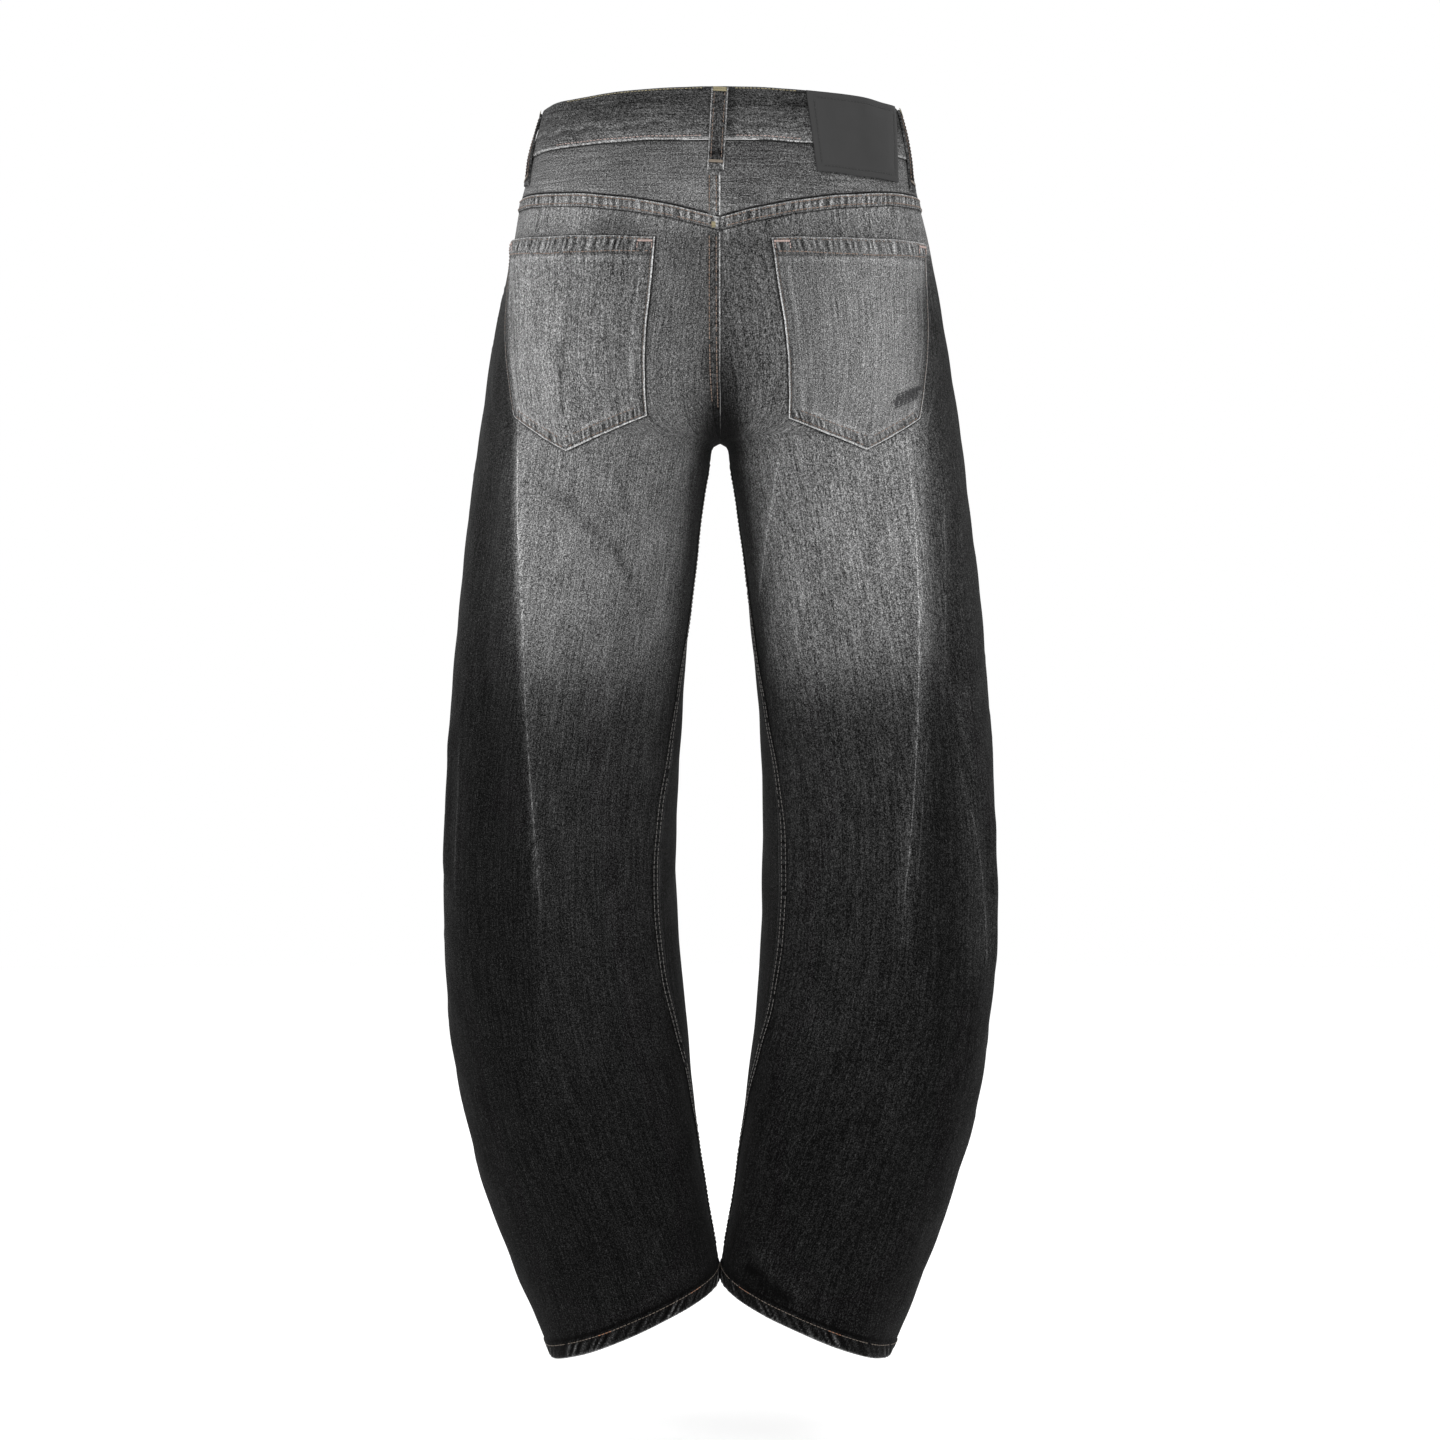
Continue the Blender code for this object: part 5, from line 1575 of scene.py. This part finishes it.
class Spool:
    """Collects the stitches of one joined piece."""

    def __init__(self, seed):
        self.points = []
        self.faces = []
        self.dyes = []
        self.count = 0
        self.random = np.random.default_rng(seed)

    def strand(self, ends, normals, radius, form, dye):
        """Tubes through rings of centres: ends and normals run over strands, then rings."""
        strands, rings = ends.shape[:2]
        along = ends[:, -1] - ends[:, 0]
        along /= np.linalg.norm(along, axis=-1, keepdims=True)
        normals = normals - along[:, None] * np.sum(normals * along[:, None], axis=-1, keepdims=True)
        normals /= np.linalg.norm(normals, axis=-1, keepdims=True)
        sideways = np.cross(along[:, None], normals)
        centres = ends + normals * (radius * np.array(form.lifts))[:, None]
        turn = 2.0 * np.pi * np.arange(THREAD_SIDES) / THREAD_SIDES
        spokes = np.cos(turn)[:, None] * sideways[..., None, :]
        spokes = spokes + np.sin(turn)[:, None] * normals[..., None, :]
        points = centres[..., None, :] + spokes * (radius * np.array(form.girths))[:, None, None]
        index = np.arange(strands * rings * THREAD_SIDES).reshape(strands, rings, THREAD_SIDES) + self.count
        after = np.roll(index, -1, axis=2)
        quads = np.stack([index[:, :-1], index[:, 1:], after[:, 1:], after[:, :-1]], axis=-1)
        self.faces += quads.reshape(-1, 4).tolist() + index[:, 0].tolist() + index[:, -1, ::-1].tolist()
        self.points.append(points.reshape(-1, 3))
        self.count += points.size // 3
        tint = self.random.uniform(0.72, 1.25, (strands, 1)) * np.asarray(dye)
        self.dyes.append(np.repeat(tint, rings * THREAD_SIDES, axis=0))

    def sew(self, line, dye, pitch=STITCH_PITCH, length=STITCH_LENGTH, radius=THREAD_RADIUS, skip=0.0):
        """A row of stitches along a line; skip is the share that has worn through."""
        total = way_along(line[0])[-1]
        count = int((total - pitch) / pitch)
        if count < 1:
            return
        starts = (total - count * pitch) / 2 + pitch * np.arange(count)
        starts = starts + self.random.uniform(-0.06, 0.06, count) * pitch
        starts = starts[self.random.uniform(size=count) >= skip]
        ends, outward = followed(line, starts[:, None] + length * np.array(STITCH.shares))
        self.strand(ends, outward, radius, STITCH, dye)

    def tack(self, line, width, dye, radius=BAR_THREAD_RADIUS):
        """A bar of close stitches across a line."""
        middle, outward = followed(line, np.arange(radius, way_along(line[0])[-1], 1.7 * radius))
        along = np.gradient(middle, axis=0)
        along /= np.linalg.norm(along, axis=-1, keepdims=True)
        reach = width * self.random.uniform(0.9, 1.08, (len(middle), 1)) * np.array(BAR.shares)
        ends = middle[:, None] + np.cross(along, outward)[:, None] * reach[..., None]
        self.strand(ends, np.repeat(outward[:, None], reach.shape[1], axis=1), radius, BAR, dye)

    def wind(self, name):
        """Makes the piece."""
        piece = add_mesh(name, np.concatenate(self.points), self.faces, (THREAD,))
        layer = piece.data.attributes.new("dye", "FLOAT_COLOR", "POINT")
        dyes = np.concatenate(self.dyes)
        dyes = np.hstack([dyes, np.ones((len(dyes), 1))])
        layer.data.foreach_set("color", dyes.astype(np.float32).ravel())
        return piece


def sew_waistband(spool):
    """One row along the top edge and one above the lower seam, left out under loops and patch."""
    blocked = ((-0.168, -0.069), (-0.009, 0.011), (-0.345, -0.155), (0.145, 0.345))
    for height_of, dye, pitch in (("top", TAN, 0.0030), ("foot", PINK, 0.0032)):
        for side in (1, -1):
            for face, reach in ((1, 0.205), (-1, 0.170)):
                ways = np.arange(0.006, reach, 0.002)
                angles = angle_from_centre(ways, np.full(ways.shape, 0.0), face)
                if height_of == "top":
                    heights = band_top(angles) - 0.0018
                else:
                    heights = band_edge(side, angles) + 0.0027
                out = BAND_RAISE + 0.00005
                if face < 0 and side > 0:
                    out = out + BAND_WALL + SEAM_GAP
                clear = np.ones(ways.shape, bool)
                if face > 0:
                    for low, high in blocked:
                        clear &= ~((side * ways > low) & (side * ways < high) & (face > 0))
                else:
                    clear &= np.abs(ways - LOOP_FRONT_WAY) > 0.009
                    if side > 0:
                        clear &= ways < 0.012
                for start, stop in runs_of(clear):
                    line = track(side, angles[start:stop], heights[start:stop], out)
                    spool.sew(line, dye, pitch, 0.0023, 0.00032)


def runs_of(clear):
    """Starts and stops of the unbroken runs in a row of yes and no."""
    edges = np.flatnonzero(np.diff(np.concatenate([[0], clear.astype(int), [0]])))
    return [(a, b) for a, b in zip(edges[::2], edges[1::2]) if b - a > 3]


def sew_yoke(spool):
    """Double rows under the yoke seam."""
    for side in (1, -1):
        angles = np.linspace(91.0, 178.0 + SIDE_SEAM_TURN, 240)
        for depth in YOKE_ROWS:
            spool.sew(track(side, angles, yoke_seam(angles) - depth, ON_SEAM), BROWN, skip=0.04)
    heights = np.linspace(-0.0868, -0.0918, 12)
    spool.tack(seat_track(1, 0.0052, heights, 1, ON_SEAM + THREAD_REST), 0.0036, TAN)


def sew_centre(spool):
    """Double rows down the centre back seam."""
    for top, foot in ((-0.0465, -0.0805), (-0.0960, -0.2360)):
        heights = np.linspace(top, foot, 120)
        for distance in CENTRE_ROWS:
            spool.sew(seat_track(1, distance, heights, 1, ON_SEAM), BROWN, skip=0.06)


def pocket_line(pocket, across, down, out):
    """Track over a pocket at shares of the way across and down."""
    across, down = np.broadcast_arrays(np.asarray(across, float), np.asarray(down, float))
    way, heights, _, _ = pocket_place(pocket, across, down)
    return track(pocket.side, angle_from_side(way, heights, 1), heights, out)


def sew_pocket(spool, pocket):
    """Rows round a pocket, bars at its mouth's corners, and rows along its turned mouth."""
    out = POCKET_GAP + POCKET_WALL + 0.0001
    on_hem = out + POCKET_HEM_RAISE
    length = pocket.mouth_in_z - pocket.foot_z
    width = abs(pocket.mouth_in - pocket.mouth_out)
    across = np.linspace(0.012, 0.988, 160)
    for depth in MOUTH_ROWS:
        spool.sew(pocket_line(pocket, across, depth / length, on_hem), BROWN, skip=0.05)
    down = np.linspace(0.012, 1.0, 160)
    hem_out = np.where(down * length < POCKET_HEM, on_hem, out)
    for edge in (POCKET_SIDE_ROW / width, 1.0 - POCKET_SIDE_ROW / width):
        spool.sew(pocket_line(pocket, edge, down, hem_out), DULL_BROWN, *POCKET_SIDE_GAUGE, skip=0.08)
    for inset in POCKET_FOOT_ROWS:
        edge = inset * 1.15 / width
        across = np.linspace(edge, 1.0 - edge, 200)
        _, _, mouth, foot = pocket_place(pocket, across, 1.0)
        down = 1.0 - (inset / 0.88) / (mouth - foot)
        left = across <= POCKET_TIP_SHARE
        for part in (left, ~left):
            line = pocket_line(pocket, across[part], down[part], out + THREAD_REST)
            spool.sew(line, BROWN, *POCKET_FOOT_GAUGE, skip=0.05)
    bar = 0.0130 / width
    for start in (0.010, 0.990 - bar):
        line = pocket_line(pocket, np.linspace(start, start + bar, 30), 0.0036 / length, on_hem + 0.0003)
        spool.tack(line, 0.0017, PINK)
        rows = np.linspace(0.0036, 0.0112, 12) / length
        for place in (start + 0.002, start + bar - 0.002):
            spool.sew(pocket_line(pocket, place, rows, on_hem + 0.0002), PINK, 0.0024, 0.0021)


def sew_hems(spool):
    """One row round each hem, a little orange in it."""
    for side in (1, -1):
        for face in (1, -1):
            angles, heights = leg_grid(side, face, yoke_foot if face > 0 else front_top)
            below = (heights[-1] - heights)[-HEM_SEARCH_ROWS:]
            place, turn = (
                np.array([
                    np.interp(HEM_ROW - HEM_DEPTH, below[:, column], grid[-HEM_SEARCH_ROWS:, column])
                    for column in range(below.shape[1])
                ])
                for grid in (heights, angles)
            )
            points, normals = track(side, turn, place, HEM_RAISE + THREAD_REST)
            spool.sew((points, normals), HEM_THREAD, *FINE_GAUGE, skip=0.06)
            for start in ORANGE_STARTS:
                part = slice(start, start + ORANGE_RUN)
                lifted = points[part] + normals[part] * THREAD_REST
                spool.sew((lifted, normals[part]), ORANGE, *ORANGE_GAUGE)


def sew_inner_legs(spool):
    """Rows along the inner leg seams."""
    for side in (1, -1):
        heights = np.linspace(CROTCH_Z - 0.022, HEM_INNER_Z + 0.022, 500)
        for distance in INNER_LEG_ROWS:
            angles = turned_by(side, TURN(heights), heights, distance)
            line = track(side, angles, heights, ON_SEAM - THREAD_REST)
            spool.sew(line, GREY, *LEG_GAUGE, skip=0.05)


def sew_front(spool):
    """Double rows along the scooped pocket mouths, the curved fly row and its bars."""
    for side in (1, -1):
        share = np.linspace(SCOOP_START + 0.012, 0.985, 120)
        for depth in SCOOP_ROWS:
            heights = front_top(side, share) - depth
            spool.sew(track(side, front_angle(share), heights, THREAD_REST), BROWN, skip=0.05)
    top = float(band_edge(1, -90.0))
    down = np.linspace(0.02, 0.985, 160)
    on_fly = LAID_GAP + FLY_WALL + THREAD_REST
    for inset in FLY_ROWS:
        heights = top - (FLY_LENGTH - inset) * down
        spool.sew(seat_track(1, fly_reach(down, inset), heights, -1, on_fly), BROWN, skip=0.04)
    heights = np.linspace(top - 0.60 * FLY_LENGTH, top - 0.68 * FLY_LENGTH, 12)
    spool.tack(seat_track(1, 0.020, heights, -1, LAID_GAP + FLY_WALL + 0.0003), 0.0026, BUFF)


def sew_loop(spool, loop):
    """Two rows down a belt loop and a bar at each end, the bars duller on darker loops: painted shade on
    side loops.
    """
    _, down, heights = loop_grid(loop)
    down = down[:, 0]
    heights = heights[:, 0]
    out = loop_rise(down, loop.from_side) + LOOP_WALL + 0.00015

    def line_at(offset, low, high):
        keep = (down >= low) & (down <= high)
        return loop_track(loop, offset, down[keep], heights[keep], out[keep])

    for offset in (-0.30, 0.30):
        spool.sew(line_at(offset, 0.03, 0.90), BROWN, *FINE_GAUGE, skip=0.05)
    # dull darkens the bars' thread as painted shade on the side loops
    dull = 1.0 - 5.0 * loop.dark
    for low, high, dye in ((0.0, 0.06, TAN), (0.875, 0.93, BUFF)):
        spool.tack(line_at(0.0, low, high), 0.0115, np.array(dye) * dull)


def darn_pocket(spool):
    """Plain square darn in dark thread near the foot of the right back pocket."""
    pocket = POCKETS[1]
    out = POCKET_GAP + POCKET_WALL + 0.0007
    low, high = DARN_ACROSS
    top, foot = DARN_DOWN
    wander = np.sin(np.arange(24) * 1.3)
    for step in range(DARN_UPRIGHTS):
        across = low + (high - low) * step / (DARN_UPRIGHTS - 1)
        uneven_foot = foot + 0.008 * (step % 3 - 1)
        line = pocket_line(pocket, across + 0.0015 * wander, np.linspace(top, uneven_foot, 24), out)
        spool.sew(line, DARN, *DARN_UPRIGHT_GAUGE)
    for step in range(DARN_LEVELS):
        down = top + (foot - top) * (step + 0.5) / DARN_LEVELS
        reach = np.linspace(low - 0.006, high + 0.006, 40)
        line = pocket_line(pocket, reach, down + 0.05 * (reach - low), out + 0.0002)
        spool.sew(line, DARN, *DARN_LEVEL_GAUGE)


def sew_patch(spool):
    """Dark row inside the patch's edge."""
    out = BAND_RAISE + LAID_GAP + PATCH_WALL - 0.0003
    side_share = PATCH_ROW / PATCH_WIDTH
    top_share = PATCH_ROW / PATCH_DEPTH
    run = np.linspace(side_share, 1.0 - side_share, 80)
    drop = np.linspace(top_share, 1.0 - top_share, 60)
    for across, down in (
        (run, np.full(run.shape, top_share)), (run, np.full(run.shape, 1.0 - top_share)),
        (np.full(drop.shape, side_share), drop), (np.full(drop.shape, 1.0 - side_share), drop),
    ):
        angles, heights = patch_place(across, down)
        spool.sew(track(-1, angles, heights, out), BLACK, *PATCH_GAUGE)


# dark is how much darker a loop's cloth and bars are drawn; on the side loops it is painted shade
Loop = namedtuple("Loop", "node side face way lean from_side dark")
LOOPS = (
    Loop("loop_back", 1, 1, 0.0, LOOP_BACK_LEAN, False, 0.0),
    Loop("loop_front_left", 1, -1, LOOP_FRONT_WAY, 0.0, False, 0.02),
    Loop("loop_front_right", -1, -1, LOOP_FRONT_WAY, 0.0, False, 0.02),
    Loop("loop_side_left", 1, 1, LOOP_LEFT_WAY, LOOP_LEFT_LEAN, True, 0.09),
    Loop("loop_side_right", -1, 1, LOOP_RIGHT_WAY, LOOP_RIGHT_LEAN, True, 0.09),
)


def sew_all():
    """Every row of stitches, in joined pieces."""
    seat = Spool(11)
    sew_waistband(seat)
    sew_yoke(seat)
    sew_centre(seat)
    for loop in LOOPS:
        sew_loop(seat, loop)
    seat.wind("stitches_seat")
    pockets = Spool(12)
    for pocket in POCKETS:
        sew_pocket(pockets, pocket)
    darn_pocket(pockets)
    pockets.wind("stitches_pockets")
    legs = Spool(13)
    sew_hems(legs)
    sew_inner_legs(legs)
    legs.wind("stitches_legs")
    front = Spool(14)
    sew_front(front)
    front.wind("stitches_front")
    patch = Spool(15)
    sew_patch(patch)
    patch.wind("stitches_patch")


# Studio

FLOOR_Z = -1.09
FLOOR_REACH = 7.0
CAMERA_DISTANCE = 3.6
CAMERA_Z = -0.4883
CAMERA_LENS = 108.0
SENSOR = 36.0


def add_studio():
    """Pale floor, even white surroundings, soft lights and the camera behind the jeans."""
    steps = 96
    rings = 12
    points = [(0.0, 0.0, FLOOR_Z)]
    for ring in range(1, rings + 1):
        for step in range(steps):
            turn = 2.0 * math.pi * step / steps
            reach = FLOOR_REACH * ring / rings
            points.append((reach * math.cos(turn), reach * math.sin(turn), FLOOR_Z))
    faces = [(0, 1 + step, 1 + (step + 1) % steps) for step in range(steps)]
    faces += [quad[::-1] for quad in ring_faces(rings, steps, 1)]
    mesh = bpy.data.meshes.new("studio_floor")
    mesh.from_pydata(points, [], faces)
    mesh.materials.append(floor_material())
    floor = bpy.data.objects.new("studio_floor", mesh)
    bpy.context.collection.objects.link(floor)

    world = bpy.data.worlds.new("studio")
    world.use_nodes = True
    world.node_tree.nodes["Background"].inputs["Color"].default_value = (1.0, 1.0, 1.0, 1.0)
    world.node_tree.nodes["Background"].inputs["Strength"].default_value = 1.0
    bpy.context.scene.world = world
    for name, place, size, energy in (
        ("key", (-1.6, 2.9, 1.6), 1.8, 34.0),
        ("fill", (2.2, 2.6, 0.4), 2.0, 14.0),
        ("front_key", (1.5, -2.8, 1.4), 1.8, 34.0),
    ):
        light = bpy.data.lights.new(name, "AREA")
        light.shape = "DISK"
        light.size = size
        light.energy = energy
        lamp = bpy.data.objects.new(name, light)
        bpy.context.collection.objects.link(lamp)
        lamp.location = place
        aim = np.array([0.0, 0.0, -0.45]) - np.array(place)
        lamp.rotation_euler = (
            math.acos(-aim[2] / np.linalg.norm(aim)), 0.0, math.atan2(aim[1], aim[0]) - math.pi / 2,
        )
    camera = bpy.data.objects.new("camera", bpy.data.cameras.new("camera"))
    bpy.context.collection.objects.link(camera)
    camera.location = (0.0, CAMERA_DISTANCE, CAMERA_Z)
    camera.rotation_euler = (math.pi / 2, 0.0, math.pi)
    camera.data.lens = CAMERA_LENS
    camera.data.sensor_width = SENSOR
    bpy.context.scene.camera = camera
    bpy.context.scene.view_settings.view_transform = "Standard"


add_studio()
add_waistband()
for word, side in (("left", 1), ("right", -1)):
    add_yoke(word, side)
    add_leg(word, side, 1)
    add_leg(word, side, -1)
    add_pocket_facing(word, side)
for word, pocket in zip(("left", "right"), POCKETS):
    add_back_pocket(word, pocket)
for loop in LOOPS:
    add_loop(loop)
add_seam_strips()
add_side_allowances()
add_fly()
add_zip_teeth()
add_patch()
add_button()
sew_all()
